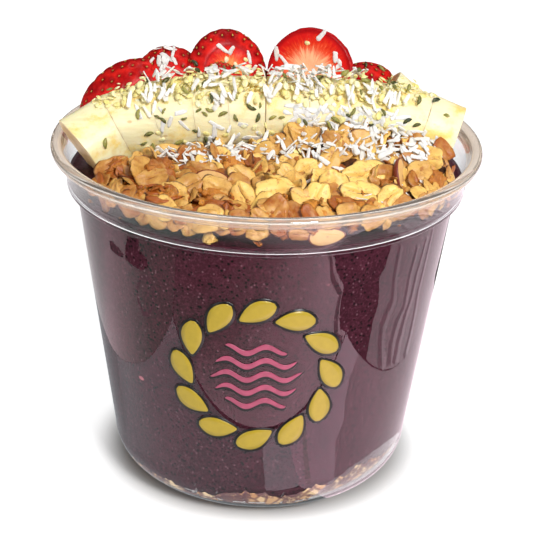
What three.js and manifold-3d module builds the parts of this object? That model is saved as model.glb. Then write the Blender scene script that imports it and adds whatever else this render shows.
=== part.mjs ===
// An acai bowl: a clear plastic cup filled with acai smoothie over a thin layer of granola,
// and topped with a heap of granola, a row of banana slices and leaning strawberry halves.
// Millimetres, +Z up. The origin is the centre of the cup's base, on the surface it stands on.
// X runs along the banana row, -Y is the side where the granola heap lies.

import * as THREE from 'three';
import Module from 'manifold-3d';

const wasm = await Module();
wasm.setup();

// ---- Driving dimensions ----------------------------------------------------------------

const SEGMENTS = 36;
const GAP = 0.3;

// Cup: a footed base, a rounded heel, a straight taper, a stacking ledge, a band and a rolled rim.
const CUP_WALL = 0.7;
const FOOT_RADIUS = 27;
const FOOT_INNER_RADIUS = 20;
const RECESS_HEIGHT = 1.2;
const HEEL_RADIUS = 41.67;
const HEEL_HEIGHT = 13;
const LEDGE_RADIUS = 51.85;
const LEDGE_HEIGHT = 84.9;
const BAND_RADIUS = 54.3;
const BAND_BOTTOM = 86.1;
const BAND_TOP_RADIUS = 54.9;
const BAND_TOP = 94.6;
const RIM_RADIUS = 56.9;
const RIM_HEIGHT = 96.2;
const RIM_HALF_WIDTH = 1.6;
const RIM_HALF_HEIGHT = 1.5;

// Acai: level at the wall, and the mound in the middle that carries the fruit.
const ACAI_LEVEL = 88;
const ACAI_MOUND = 7.2;

// Granola at the base: an uneven layer, deepest towards the front right.
const BASE_DEPTH = 8.8;
const BASE_SLOPE = 3;
const BASE_BUMP = 0.9;
const BASE_THINNEST = 3;

// Granola heap: a crescent between the bananas and the front wall, with a drift on its right
// that climbs the bananas.
const HEAP_LEVEL = 95;
const HEAP_RISE = 1.6;
const HEAP_EDGE_RADIUS = 50.5;
const DRIFT_RISE = 6.5;
const HEAP_SPACING = 7.6;
const HEAP_LEFT_AZIMUTH = 201;
const HEAP_RIGHT_AZIMUTH = 352;
const OAT_LENGTH = 9;
const OAT_WIDTH = 6.4;
const OAT_THICKNESS = 1.3;
const CLUSTER_SIZE = 6.5;
const ALMOND_LENGTH = 12;
const ALMOND_WIDTH = 6.5;
const ALMOND_THICKNESS = 2.6;

// Coconut shreds and hemp hearts that lie on the fruit and the heap.
const SHRED_LENGTH = 5.5;
const SHRED_WIDTH = 1.4;
const SHRED_THICKNESS = 0.7;
const HEMP_LENGTH = 2.6;
const SHREDS_PER_SLICE = 3;
const HEMP_PER_SLICE = 1;
const SHREDS_ON_HEAP = 10;
const ATTEMPTS = 6;

// Banana row: the cuts through a bent banana, as [x, y, z, pitch, yaw, radius], in degrees.
const BANANA_SIDES = 14;
const BANANA_BEVEL = 0.5;
const BANANA_CUTS = [
  [-48.2, -6.4, 94.6, 30, 33, 9.6],
  [-40.4, -1.2, 99.8, 27, 14, 9.5],
  [-30.0, 0.0, 102.7, 16, 6, 9.5],
  [-19.5, 0.3, 104.2, 8, 2, 9.5],
  [-10.0, 0.3, 104.8, 5, 0, 9.4],
  [-0.4, 0.3, 104.9, 1, 0, 9.3],
  [11.2, 0.3, 105.0, -2, -2, 9.3],
  [21.5, 0.3, 104.7, -5, -3, 9.4],
  [31.5, 0.3, 103.8, -11, -4, 9.4],
  [41.6, 0.3, 101.5, -19, -5, 9.4],
  [50.7, -0.5, 98.4, -18, -8, 9.2],
];
const EXTRA_BANANA = [
  [31.2, 20.2, 103.2, -38, -8, 8.8],
  [38.4, 19.0, 97.6, -38, -8, 8.8],
];

// Strawberry halves: centre of the widest part of the cut face, the direction of the tip, the
// outward normal of the cut face, then tip length, base length, half width and depth.
const BERRY_SIDES = 14;
const STRAWBERRIES = [
  [[-39.4, 19.0, 101.0], [0.74, 0.1, 0.66], [0.25, 0.9, 0.1], 13.5, 13, 9.2, 8.6],
  [[-27.8, 22.5, 104.6], [0.05, 0.25, 0.95], [0.1, 0.95, -0.25], 10.8, 12, 10.2, 9],
  [[-11.6, 19.0, 109.4], [-0.03, 0.3, 0.95], [0.25, -0.92, 0.29], 12.3, 15.6, 11.4, 8],
  [[-12.7, 14.2, 107.2], [-0.3, 0.2, 0.9], [0.3, -0.9, 0.3], 7, 7, 6.2, 3.4],
  [[11.5, 17.0, 110.6], [-0.14, 0.3, 0.94], [-0.22, -0.92, 0.3], 12.6, 17.4, 12.4, 9],
  [[27.5, 30.5, 101.5], [-0.1, 0.1, 0.97], [0.05, 0.9, -0.3], 8.5, 10, 9.6, 9],
  [[-29.0, 33.5, 98.0], [0.36, -0.4, 0.8], [0.6, -0.65, -0.5], 13, 11, 10, 9],
  [[-10.0, 40.0, 98.5], [0.1, -0.52, 0.83], [0.2, -0.83, -0.5], 13, 11, 10.4, 8.5],
  [[11.0, 39.5, 98.5], [-0.14, -0.52, 0.83], [-0.2, -0.83, -0.5], 13, 11, 10.4, 8.5],
  [[41.6, 16.8, 92.0], [-0.5, 0.75, 0.2], [-0.15, -0.1, -1], 9, 9, 7.6, 7],
];

// ---- Closed solids from rings of points ------------------------------------------------

function randomSource(seed) {
  let state = seed >>> 0;
  return () => {
    state = (state + 0x6d2b79f5) >>> 0;
    let value = Math.imul(state ^ (state >>> 15), 1 | state);
    value = (value + Math.imul(value ^ (value >>> 7), 61 | value)) ^ value;
    return ((value ^ (value >>> 14)) >>> 0) / 4294967296;
  };
}

function signedVolume(points, faces) {
  let sum = 0;
  for (const [a, b, c] of faces) {
    sum += points[a].dot(new THREE.Vector3().crossVectors(points[b], points[c])) / 6;
  }
  return sum;
}

// Skins a list of rings that all have the same number of points, and closes both ends with a fan
// round the end point given, or round the ring's own middle.
function loft(rings, startPoint, endPoint) {
  const points = [];
  const faces = [];
  const count = rings[0].length;
  for (const ring of rings) {
    points.push(...ring);
  }
  for (let level = 0; level + 1 < rings.length; level += 1) {
    for (let side = 0; side < count; side += 1) {
      const a = level * count + side;
      const b = level * count + ((side + 1) % count);
      faces.push([a, b, b + count], [a, b + count, a + count]);
    }
  }
  const middle = (ring) => ring.reduce((sum, p) => sum.add(p), new THREE.Vector3())
    .divideScalar(count);
  const start = points.push(startPoint ?? middle(rings[0])) - 1;
  const end = points.push(endPoint ?? middle(rings[rings.length - 1])) - 1;
  const last = (rings.length - 1) * count;
  for (let side = 0; side < count; side += 1) {
    const next = (side + 1) % count;
    faces.push([start, next, side], [end, last + side, last + next]);
  }
  return solidFrom(points, faces);
}

function solidFrom(points, faces) {
  const inward = signedVolume(points, faces) < 0;
  const vertProperties = new Float32Array(points.flatMap((p) => [p.x, p.y, p.z]));
  const triVerts = new Uint32Array(faces.flatMap(([a, b, c]) => (inward ? [a, c, b] : [a, b, c])));
  return new wasm.Manifold(new wasm.Mesh({ numProp: 3, vertProperties, triVerts }));
}

function solidFromGeometry(geometry, place) {
  const position = geometry.getAttribute('position');
  const points = [];
  const known = new Map();
  const faces = [];
  for (let i = 0; i < position.count; i += 3) {
    const face = [];
    for (let k = 0; k < 3; k += 1) {
      const point = new THREE.Vector3().fromBufferAttribute(position, i + k);
      const key = point.toArray().map((value) => value.toFixed(4)).join();
      if (!known.has(key)) {
        known.set(key, points.push(place(point)) - 1);
      }
      face.push(known.get(key));
    }
    faces.push(face);
  }
  return solidFrom(points, faces);
}

// Keeps the largest shell of a solid, because a cut can leave loose scraps behind.
function largestShell(triangles, vertexCount) {
  const parent = Array.from({ length: vertexCount }, (_, i) => i);
  const root = (i) => {
    let node = i;
    while (parent[node] !== node) {
      parent[node] = parent[parent[node]];
      node = parent[node];
    }
    return node;
  };
  for (let i = 0; i < triangles.length; i += 3) {
    parent[root(triangles[i])] = root(triangles[i + 1]);
    parent[root(triangles[i + 1])] = root(triangles[i + 2]);
  }
  const sizes = new Map();
  for (let i = 0; i < triangles.length; i += 3) {
    const shell = root(triangles[i]);
    sizes.set(shell, (sizes.get(shell) ?? 0) + 1);
  }
  const largest = [...sizes.entries()].sort((a, b) => b[1] - a[1])[0][0];
  const kept = [];
  for (let i = 0; i < triangles.length; i += 3) {
    if (root(triangles[i]) === largest) {
      kept.push(triangles[i], triangles[i + 1], triangles[i + 2]);
    }
  }
  return kept;
}

function meshOf(name, solid, material) {
  const { vertProperties, triVerts, numProp } = solid.getMesh();
  const count = vertProperties.length / numProp;
  const positions = new Float32Array(count * 3);
  for (let i = 0; i < count; i += 1) {
    positions.set(vertProperties.subarray(i * numProp, i * numProp + 3), i * 3);
  }
  const geometry = new THREE.BufferGeometry();
  geometry.setAttribute('position', new THREE.BufferAttribute(positions, 3));
  geometry.setIndex(largestShell(triVerts, count));
  geometry.computeVertexNormals();
  const mesh = new THREE.Mesh(geometry, material);
  mesh.name = name;
  return mesh;
}

function circle(radius, z) {
  return Array.from({ length: SEGMENTS }, (_, i) => {
    const angle = (i / SEGMENTS) * 2 * Math.PI;
    return new THREE.Vector3(radius * Math.cos(angle), radius * Math.sin(angle), z);
  });
}

// An orthonormal frame whose first axis is the direction given, and whose second is as near as
// possible to the hint.
function frameAlong(direction, hint) {
  const first = direction.clone().normalize();
  const second = hint.clone().addScaledVector(first, -hint.dot(first)).normalize();
  const third = new THREE.Vector3().crossVectors(first, second);
  return [first, second, third];
}

// ---- Cup -------------------------------------------------------------------------------

function heelProfile(inset) {
  return [30, 60, 90].map((degrees) => {
    const angle = THREE.MathUtils.degToRad(degrees);
    const width = HEEL_RADIUS - FOOT_RADIUS - inset;
    return [
      FOOT_RADIUS + width * Math.sin(angle),
      HEEL_HEIGHT * (1 - Math.cos(angle)) + inset * Math.cos(angle),
    ];
  });
}

function rimProfile() {
  return [-125, -75, -20, 35, 90, 140].map((degrees) => {
    const angle = THREE.MathUtils.degToRad(degrees);
    return [
      RIM_RADIUS + RIM_HALF_WIDTH * Math.cos(angle),
      RIM_HEIGHT + RIM_HALF_HEIGHT * Math.sin(angle),
    ];
  });
}

function outerProfile() {
  return [
    [FOOT_INNER_RADIUS - 2, RECESS_HEIGHT],
    [FOOT_INNER_RADIUS, 0],
    [FOOT_RADIUS, 0],
    ...heelProfile(0),
    [LEDGE_RADIUS, LEDGE_HEIGHT],
    [BAND_RADIUS - 0.4, BAND_BOTTOM - 0.6],
    [BAND_RADIUS, BAND_BOTTOM],
    [BAND_TOP_RADIUS, BAND_TOP],
    ...rimProfile(),
  ];
}

// The inside of the cup above its floor, drawn inset mm clear of the wall's inner face.
function wallProfile(inset) {
  const wall = CUP_WALL + inset;
  return [
    [FOOT_RADIUS, wall],
    ...heelProfile(wall),
    [LEDGE_RADIUS - wall, LEDGE_HEIGHT + wall],
    [BAND_RADIUS - wall - 0.4, BAND_BOTTOM + wall - 0.6],
    [BAND_RADIUS - wall, BAND_BOTTOM + wall],
    [BAND_TOP_RADIUS - wall, BAND_TOP],
  ];
}

// The floor steps down from its raised middle into the foot.
function floorProfile(inset) {
  const wall = CUP_WALL + inset;
  return [[FOOT_INNER_RADIUS - 2, RECESS_HEIGHT + wall], [FOOT_INNER_RADIUS + 0.3, wall]];
}

function radiusAt(profile, height) {
  const z = THREE.MathUtils.clamp(height, profile[0][1], profile[profile.length - 1][1]);
  const above = Math.max(1, profile.findIndex(([, level]) => level >= z));
  const [r0, z0] = profile[above - 1];
  const [r1, z1] = profile[above];
  return r0 + ((r1 - r0) * (z - z0)) / (z1 - z0);
}

function cupSolid() {
  const inside = [...floorProfile(0), ...wallProfile(0)].reverse();
  const rings = [...outerProfile(), ...inside].map(([radius, z]) => circle(radius, z));
  const underside = new THREE.Vector3(0, 0, RECESS_HEIGHT);
  const floor = new THREE.Vector3(0, 0, RECESS_HEIGHT + CUP_WALL);
  return loft(rings, underside, floor);
}

// The room that the contents may fill: the cup's inside less the gap, open upwards.
function roomSolid() {
  const rings = wallProfile(GAP).map(([radius, z]) => circle(radius, z));
  rings.push(circle(BAND_TOP_RADIUS - CUP_WALL - GAP, 200));
  return loft(rings);
}

// ---- Smoothie and the granola under it -------------------------------------------------

function baseTop(x, y) {
  const slope = BASE_SLOPE * ((0.7 * x - 0.7 * y) / HEEL_RADIUS);
  const bumps = Math.sin(x * 0.42 + 1.3) * Math.cos(y * 0.37) + 0.6 * Math.sin(0.9 * x - 0.7 * y);
  return Math.max(BASE_THINNEST, BASE_DEPTH + slope + BASE_BUMP * bumps);
}

function acaiTop(x, y, lift = 0) {
  const radius = Math.min(1, Math.hypot(x, y) / BAND_RADIUS);
  return ACAI_LEVEL + lift + ACAI_MOUND * (1 - radius * radius) ** 1.3;
}

// A surface across the cup, as rings from near the middle out to the wall.
function surfaceRings(profile, heightAt, steps, level) {
  const wallPoint = (unit) => {
    let radius = radiusAt(profile, level);
    for (let pass = 0; pass < 16; pass += 1) {
      const next = radiusAt(profile, heightAt(radius * unit.x, radius * unit.y));
      radius = 0.5 * (radius + next);
    }
    return radius;
  };
  return Array.from({ length: steps }, (_, step) => circle(1, 0).map((unit) => {
    const reach = (wallPoint(unit) * (step + 1)) / steps;
    const x = reach * unit.x;
    const y = reach * unit.y;
    return new THREE.Vector3(x, y, heightAt(x, y));
  }));
}

// Rings on the wall between an uneven edge and a level height.
function wallRings(profile, edge, level, shares) {
  return shares.map((share) => edge.map((rim) => {
    const z = rim.z + share * (level - rim.z);
    const angle = Math.atan2(rim.y, rim.x);
    const radius = radiusAt(profile, z);
    return new THREE.Vector3(radius * Math.cos(angle), radius * Math.sin(angle), z);
  }));
}

// The surface between the granola and the smoothie above it.
function baseTopRings(lift) {
  const rings = surfaceRings(wallProfile(GAP), baseTop, 5, BASE_DEPTH);
  return rings.map((ring) => ring.map((p) => new THREE.Vector3(p.x, p.y, p.z + lift)));
}

function granolaBaseSolid() {
  const profile = wallProfile(GAP);
  const floor = floorProfile(GAP);
  const top = baseTopRings(0);
  const low = circle(FOOT_RADIUS, CUP_WALL + GAP);
  const sides = wallRings(profile, top[top.length - 1], CUP_WALL + GAP, [0.75, 0.4]);
  const rings = [...floor.map(([radius, z]) => circle(radius, z)), low, ...sides, ...top.reverse()];
  return loft(rings, new THREE.Vector3(0, 0, floor[0][1]), new THREE.Vector3(0, 0, baseTop(0, 0)));
}

function acaiSolid(grow = 0) {
  const profile = wallProfile(GAP - grow);
  const over = (x, y) => acaiTop(x, y, grow);
  const top = surfaceRings(profile, over, 4, ACAI_LEVEL);
  const ledge = profile.filter(([, z]) => z > 2 * HEEL_HEIGHT && z < ACAI_LEVEL)
    .map(([radius, z]) => circle(radius, z));
  const bottom = baseTopRings(GAP).reverse();
  const heel = wallRings(profile, bottom[0], HEEL_HEIGHT, [1, 0.5, 0.1]);
  const rings = [...top, ...ledge.reverse(), ...heel, ...bottom];
  const middle = new THREE.Vector3(0, 0, over(0, 0));
  return loft(rings, middle, new THREE.Vector3(0, 0, baseTop(0, 0) + GAP));
}

// ---- Banana slices ---------------------------------------------------------------------

function bananaAxis(cut) {
  const pitch = THREE.MathUtils.degToRad(cut[3]);
  const yaw = THREE.MathUtils.degToRad(cut[4]);
  return new THREE.Vector3(
    Math.cos(pitch) * Math.cos(yaw), Math.cos(pitch) * Math.sin(yaw), Math.sin(pitch),
  );
}

// A banana is faintly five-sided.
function bananaRing(cut, shift, inset) {
  const [axis, up, side] = frameAlong(bananaAxis(cut), new THREE.Vector3(0, 0, 1));
  const centre = new THREE.Vector3(cut[0], cut[1], cut[2]).addScaledVector(axis, shift);
  return Array.from({ length: BANANA_SIDES }, (_, i) => {
    const angle = (i / BANANA_SIDES) * 2 * Math.PI;
    const radius = (cut[5] - inset) * (1 + 0.02 * Math.cos(5 * angle + 0.6));
    return centre.clone()
      .addScaledVector(up, radius * Math.cos(angle))
      .addScaledVector(side, radius * Math.sin(angle));
  });
}

function bananaSolid(from, to, grow = 0) {
  const half = GAP / 2 + 0.05 - grow;
  return loft([
    bananaRing(from, half, BANANA_BEVEL - grow),
    bananaRing(from, half + BANANA_BEVEL, -grow),
    bananaRing(to, -half - BANANA_BEVEL, -grow),
    bananaRing(to, -half, BANANA_BEVEL - grow),
  ]);
}

// ---- Strawberry halves -----------------------------------------------------------------

function berrySolid([at, tip, face, tipLength, baseLength, halfWidth, depth], grow = 0) {
  const centre = new THREE.Vector3(...at);
  const [up, out, side] = frameAlong(new THREE.Vector3(...tip), new THREE.Vector3(...face));
  const ring = (scale, back) => Array.from({ length: BERRY_SIDES }, (_, i) => {
    const angle = (i / BERRY_SIDES) * 2 * Math.PI;
    const length = (Math.cos(angle) > 0 ? tipLength : baseLength) + grow;
    return centre.clone()
      .addScaledVector(up, scale * length * Math.cos(angle))
      .addScaledVector(side, scale * (halfWidth + grow) * Math.sin(angle))
      .addScaledVector(out, grow - back * (depth + 2 * grow));
  });
  const rings = [ring(0.95, 0), ring(1, 0.08)];
  for (const degrees of [28, 52, 74]) {
    const angle = THREE.MathUtils.degToRad(degrees);
    rings.push(ring(Math.cos(angle), Math.sin(angle)));
  }
  return loft(rings);
}

// ---- Small pieces: oats, clusters, almonds, shreds and hemp hearts ---------------------

function placed(centre, normal, turn, size) {
  const hint = Math.abs(normal.z) > 0.9 ? new THREE.Vector3(1, 0, 0) : new THREE.Vector3(0, 0, 1);
  const [out, along, across] = frameAlong(normal, hint);
  const length = along.clone().multiplyScalar(Math.cos(turn))
    .addScaledVector(across, Math.sin(turn));
  const width = new THREE.Vector3().crossVectors(out, length);
  return (p) => centre.clone()
    .addScaledVector(length, p.x * size[0])
    .addScaledVector(width, p.y * size[1])
    .addScaledVector(out, p.z * size[2]);
}

// A rolled oat: a thin oval, narrower on its upper face.
function oatSolid(place) {
  const sides = 6;
  const ring = (scale, z) => Array.from({ length: sides }, (_, i) => {
    const angle = ((i + 0.5) / sides) * 2 * Math.PI;
    return place(new THREE.Vector3(0.5 * scale * Math.cos(angle), 0.5 * scale * Math.sin(angle), z));
  });
  return loft([ring(1, -0.5), ring(0.84, 0.5)]);
}

function clusterSolid(place, random) {
  const offsets = new Map();
  return solidFromGeometry(new THREE.IcosahedronGeometry(0.5, 0), (point) => {
    const key = point.toArray().map((value) => value.toFixed(3)).join();
    if (!offsets.has(key)) {
      offsets.set(key, 0.8 + 0.4 * random());
    }
    return place(point.multiplyScalar(offsets.get(key)));
  });
}

function almondSolid(place) {
  const sides = 6;
  const ring = (x, scale) => Array.from({ length: sides }, (_, i) => {
    const angle = (i / sides) * 2 * Math.PI;
    return place(new THREE.Vector3(x, 0.5 * scale * Math.cos(angle), 0.5 * scale * Math.sin(angle)));
  });
  const tip = place(new THREE.Vector3(0.5, 0, 0));
  const blunt = place(new THREE.Vector3(-0.5, 0, 0));
  return loft([ring(-0.28, 0.9), ring(0.1, 0.95)], blunt, tip);
}

// A shred is a three-sided sliver.
function shredSolid(place) {
  const ring = (x, scale) => [[0, 0.6], [-0.5, -0.4], [0.5, -0.4]]
    .map(([y, z]) => place(new THREE.Vector3(x, scale * y, scale * z)));
  return loft([ring(-0.5, 0.7), ring(0.5, 1)]);
}

// Makes a piece, and makes it again elsewhere while it touches what it has to stay clear of.
function settle(make, isClear) {
  for (let attempt = 0; attempt < ATTEMPTS; attempt += 1) {
    const piece = make();
    if (isClear(piece)) {
      return [piece];
    }
  }
  return [];
}

function joinAll(core, pieces) {
  return pieces.reduce((sum, piece) => sum.add(piece), core);
}

function cutClear(solid, others) {
  const crossing = others.filter((other) => !solid.intersect(other).isEmpty());
  return crossing.reduce((rest, other) => rest.subtract(other), solid);
}

// Bits on the upper side of a banana slice, between its two cuts.
function bananaToppings(from, to, random, isClear) {
  const place = (size) => {
    const share = 0.35 + 0.3 * random();
    const cut = from.map((value, k) => value + share * (to[k] - value));
    const [, up, side] = frameAlong(bananaAxis(cut), new THREE.Vector3(0, 0, 1));
    const angle = (random() - 0.5) * 1.9;
    const normal = up.clone().multiplyScalar(Math.cos(angle)).addScaledVector(side, Math.sin(angle));
    const centre = new THREE.Vector3(cut[0], cut[1], cut[2]).addScaledVector(normal, cut[5] + 0.1);
    return placed(centre, normal, Math.PI / 2 + (random() - 0.5) * 1.2, size);
  };
  const shreds = Array.from({ length: SHREDS_PER_SLICE }, () => settle(
    () => shredSolid(place([SHRED_LENGTH, SHRED_WIDTH, SHRED_THICKNESS * 1.6])), isClear,
  ));
  const hemp = Array.from({ length: HEMP_PER_SLICE }, () => settle(
    () => almondSolid(place([HEMP_LENGTH, HEMP_LENGTH * 0.8, HEMP_LENGTH * 0.6])), isClear,
  ));
  return [...shreds, ...hemp].flat();
}

// ---- Granola heap ----------------------------------------------------------------------

function heapTop(x, y) {
  const toWall = Math.max(0, (Math.hypot(x, y) - 44) / 10);
  const clamp = (value) => THREE.MathUtils.clamp(value, 0, 1);
  const nearRow = clamp((y + 34) / 24);
  const side = clamp((x + 6) / 22) * clamp((50 - x) / 16);
  const drift = DRIFT_RISE * side * clamp((y + 24) / 15) ** 1.4;
  return HEAP_LEVEL + HEAP_RISE * nearRow + drift - 2 * toWall * toWall;
}

function inHeap(x, y, margin) {
  const azimuth = (THREE.MathUtils.radToDeg(Math.atan2(y, x)) + 360) % 360;
  const turn = azimuth > HEAP_LEFT_AZIMUTH + margin && azimuth < HEAP_RIGHT_AZIMUTH - margin;
  return turn && Math.hypot(x, y) < HEAP_EDGE_RADIUS && y < -6 - margin * 0.3;
}

// The packed middle of the heap: a D-shaped mound with its bottom on the smoothie.
function heapCore() {
  const columns = 16;
  const rows = 7;
  const outline = [];
  for (let column = 0; column <= columns; column += 1) {
    const share = column / columns;
    const azimuth = HEAP_LEFT_AZIMUTH + share * (HEAP_RIGHT_AZIMUTH - HEAP_LEFT_AZIMUTH);
    const angle = THREE.MathUtils.degToRad(azimuth);
    outline.push([HEAP_EDGE_RADIUS * Math.cos(angle), HEAP_EDGE_RADIUS * Math.sin(angle)]);
  }
  const points = [];
  const faces = [];
  const index = (column, row, layer) => (layer * (rows + 1) + row) * (columns + 1) + column;
  for (const layer of [0, 1]) {
    for (let row = 0; row <= rows; row += 1) {
      for (const [x, edgeY] of outline) {
        const y = -5 + (row / rows) * (Math.min(edgeY, -6) + 5);
        const floor = acaiTop(x, y) + GAP;
        points.push(new THREE.Vector3(x, y, layer ? Math.max(floor + 1, heapTop(x, y)) : floor));
      }
    }
  }
  const quad = (a, b, c, d) => faces.push([a, b, c], [a, c, d]);
  for (let column = 0; column < columns; column += 1) {
    for (let row = 0; row < rows; row += 1) {
      quad(index(column, row, 0), index(column + 1, row, 0),
        index(column + 1, row + 1, 0), index(column, row + 1, 0));
      quad(index(column, row, 1), index(column, row + 1, 1),
        index(column + 1, row + 1, 1), index(column + 1, row, 1));
    }
    quad(index(column, 0, 0), index(column, 0, 1), index(column + 1, 0, 1), index(column + 1, 0, 0));
    quad(index(column, rows, 0), index(column + 1, rows, 0),
      index(column + 1, rows, 1), index(column, rows, 1));
  }
  for (let row = 0; row < rows; row += 1) {
    quad(index(0, row, 0), index(0, row + 1, 0), index(0, row + 1, 1), index(0, row, 1));
    quad(index(columns, row, 0), index(columns, row, 1),
      index(columns, row + 1, 1), index(columns, row + 1, 0));
  }
  return solidFrom(points, faces);
}

function heapPiece(x, y, kind, random) {
  const px = x + (random() - 0.5) * 3;
  const py = y + (random() - 0.5) * 3;
  const lean = new THREE.Vector3((random() - 0.5) * 1.1, (random() - 0.6) * 1.1, 1).normalize();
  const centre = new THREE.Vector3(px, py, heapTop(px, py) + 0.4);
  const turn = random() * Math.PI;
  if (kind < 0.74) {
    const grow = 0.8 + 0.35 * random();
    const size = [OAT_LENGTH * grow, OAT_WIDTH * grow, OAT_THICKNESS];
    return oatSolid(placed(centre, lean, turn, size));
  }
  if (kind < 0.96) {
    const size = [CLUSTER_SIZE * 1.2, CLUSTER_SIZE, CLUSTER_SIZE * 0.8];
    return clusterSolid(placed(centre, lean, turn, size), random);
  }
  return almondSolid(placed(centre, lean, turn, [ALMOND_LENGTH, ALMOND_WIDTH, ALMOND_THICKNESS]));
}

function heapPieces(random, isClear) {
  const pieces = [];
  for (let y = -49; y < -8; y += HEAP_SPACING) {
    for (let x = -49; x < 52; x += HEAP_SPACING) {
      const kind = random();
      if (inHeap(x, y, 2)) {
        pieces.push(...settle(() => heapPiece(x, y, kind, random), isClear));
      }
    }
  }
  return pieces;
}

// Pieces that stand against the cup's wall and show through its band.
function wallPieces(random, isClear) {
  const pieces = [];
  for (let azimuth = HEAP_LEFT_AZIMUTH + 6; azimuth < HEAP_RIGHT_AZIMUTH - 4; azimuth += 9) {
    pieces.push(...settle(() => {
      const angle = THREE.MathUtils.degToRad(azimuth + (random() - 0.5) * 4);
      const outward = new THREE.Vector3(Math.cos(angle), Math.sin(angle), 0.3);
      const centre = outward.clone().setZ(0).multiplyScalar(50.4);
      centre.z = 92.2 + 1.2 * random();
      const size = [OAT_LENGTH, OAT_WIDTH, OAT_THICKNESS];
      return oatSolid(placed(centre, outward, random() * Math.PI, size));
    }, isClear));
  }
  return pieces;
}

function heapShreds(random, isClear) {
  return Array.from({ length: SHREDS_ON_HEAP }, () => settle(() => {
    const x = -34 + 80 * random();
    const y = -13 - 12 * random();
    const centre = new THREE.Vector3(x, y, heapTop(x, y) + 1.2);
    const lean = new THREE.Vector3((random() - 0.5) * 0.6, (random() - 0.5) * 0.6, 1);
    const size = [SHRED_LENGTH, SHRED_WIDTH, SHRED_THICKNESS * 1.6];
    return shredSolid(placed(centre, lean, random() * Math.PI, size));
  }, isClear)).flat();
}

// ---- Materials -------------------------------------------------------------------------

function finish(color, roughness, opacity = 1) {
  return new THREE.MeshStandardMaterial({
    color, roughness, metalness: 0, opacity, transparent: opacity < 1,
  });
}

const clearPlastic = finish(0xdfe6ea, 0.08, 0.3);
const smoothie = finish(0x573844, 0.35);
const toasted = finish(0xe0ab5c, 0.7);
const bananaFlesh = finish(0xf8ecca, 0.55);
const berryRed = finish(0xc1272d, 0.35);

// ---- The object ------------------------------------------------------------------------

const random = randomSource(2611);
const bowl = new THREE.Group();
const room = roomSolid();
const grownAcai = acaiSolid(GAP);

const slices = BANANA_CUTS.slice(1).map((cut, i) => [BANANA_CUTS[i], cut]);
slices.push(EXTRA_BANANA);
const grownSlices = slices.map(([from, to]) => bananaSolid(from, to, GAP));
const grownBerries = STRAWBERRIES.map((spec) => berrySolid(spec, GAP));
const isClearOf = (others) => (piece) => piece.subtract(room).isEmpty()
  && others.every((other) => piece.intersect(other).isEmpty());

bowl.add(meshOf('cup', cupSolid(), clearPlastic));
bowl.add(meshOf('granola_base', granolaBaseSolid(), toasted));
bowl.add(meshOf('acai', acaiSolid(), smoothie));

slices.forEach(([from, to], i) => {
  const others = [...grownSlices.filter((_, k) => k !== i), ...grownBerries];
  const toppings = bananaToppings(from, to, random, isClearOf(others));
  const slice = cutClear(bananaSolid(from, to), [grownAcai]);
  bowl.add(meshOf(`banana_${i + 1}`, joinAll(slice, toppings), bananaFlesh));
});

STRAWBERRIES.forEach((spec, i) => {
  const others = [grownAcai, ...grownSlices, ...grownBerries.slice(0, i)];
  bowl.add(meshOf(`strawberry_${i + 1}`, cutClear(berrySolid(spec), others), berryRed));
});

const heapIsClear = isClearOf([grownAcai, ...grownSlices, ...grownBerries]);
const loose = [
  ...wallPieces(random, heapIsClear),
  ...heapPieces(random, heapIsClear),
  ...heapShreds(random, heapIsClear),
];
bowl.add(meshOf('granola_heap', joinAll(cutClear(heapCore(), grownSlices), loose), toasted));

export default bowl;
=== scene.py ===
"""An acai bowl: a clear cup of smoothie over granola, topped with granola, banana, strawberry,
coconut shreds and hemp hearts. Points are worked out in mm and scaled where meshes are made."""

import math
from collections import namedtuple

import bmesh
import bpy
import numpy as np
from mathutils import Matrix, Vector, noise
from mathutils.bvhtree import BVHTree


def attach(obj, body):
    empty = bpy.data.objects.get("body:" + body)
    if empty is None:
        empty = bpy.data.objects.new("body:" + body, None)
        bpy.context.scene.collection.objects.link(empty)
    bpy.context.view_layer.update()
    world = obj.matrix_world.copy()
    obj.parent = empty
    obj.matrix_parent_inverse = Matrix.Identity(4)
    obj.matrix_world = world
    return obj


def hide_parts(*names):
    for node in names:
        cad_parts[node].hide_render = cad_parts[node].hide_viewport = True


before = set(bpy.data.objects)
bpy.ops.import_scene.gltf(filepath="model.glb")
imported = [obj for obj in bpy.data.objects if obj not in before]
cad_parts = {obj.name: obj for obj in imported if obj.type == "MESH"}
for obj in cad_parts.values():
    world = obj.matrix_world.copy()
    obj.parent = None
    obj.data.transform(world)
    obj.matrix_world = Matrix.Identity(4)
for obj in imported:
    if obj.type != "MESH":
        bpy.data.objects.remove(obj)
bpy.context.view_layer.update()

MM = 0.001
PER_MM = 1000.0
TAU = 2 * math.pi
UP = np.array([0.0, 0.0, 1.0])
rng = np.random.default_rng(2611)

# ---- Sizes in mm, as in the frame -----------------------------------------------------------

CUP_SIDES = 240
CUP_WALL = 0.7
FOOT_RADIUS = 27.0
FOOT_INNER_RADIUS = 20.0
RECESS_HEIGHT = 1.2
HEEL_RADIUS = 41.67
HEEL_HEIGHT = 13.0
LEDGE_RADIUS = 51.85
LEDGE_HEIGHT = 84.9
BAND_RADIUS = 54.3
BAND_BOTTOM = 86.1
BAND_TOP_RADIUS = 54.9
BAND_TOP = 94.6
RIM_RADIUS = 56.9
RIM_HEIGHT = 96.2
RIM_HALF_WIDTH = 1.6
RIM_HALF_HEIGHT = 1.5

ACAI_LEVEL = 88.0
ACAI_MOUND = 7.2
BASE_DEPTH = 8.8
BASE_SLOPE = 3.0
BASE_BUMP = 0.9
INTO_WALL = 0.12
HEEL_EXTRA = 0.25

HEAP_LEVEL = 95.0
HEAP_RISE = 1.6
DRIFT_RISE = 6.5
HEAP_EDGE_RADIUS = 50.5
HEAP_AZIMUTHS = (203, 352)
FLAKE_AZIMUTHS = (208, 351)

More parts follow.
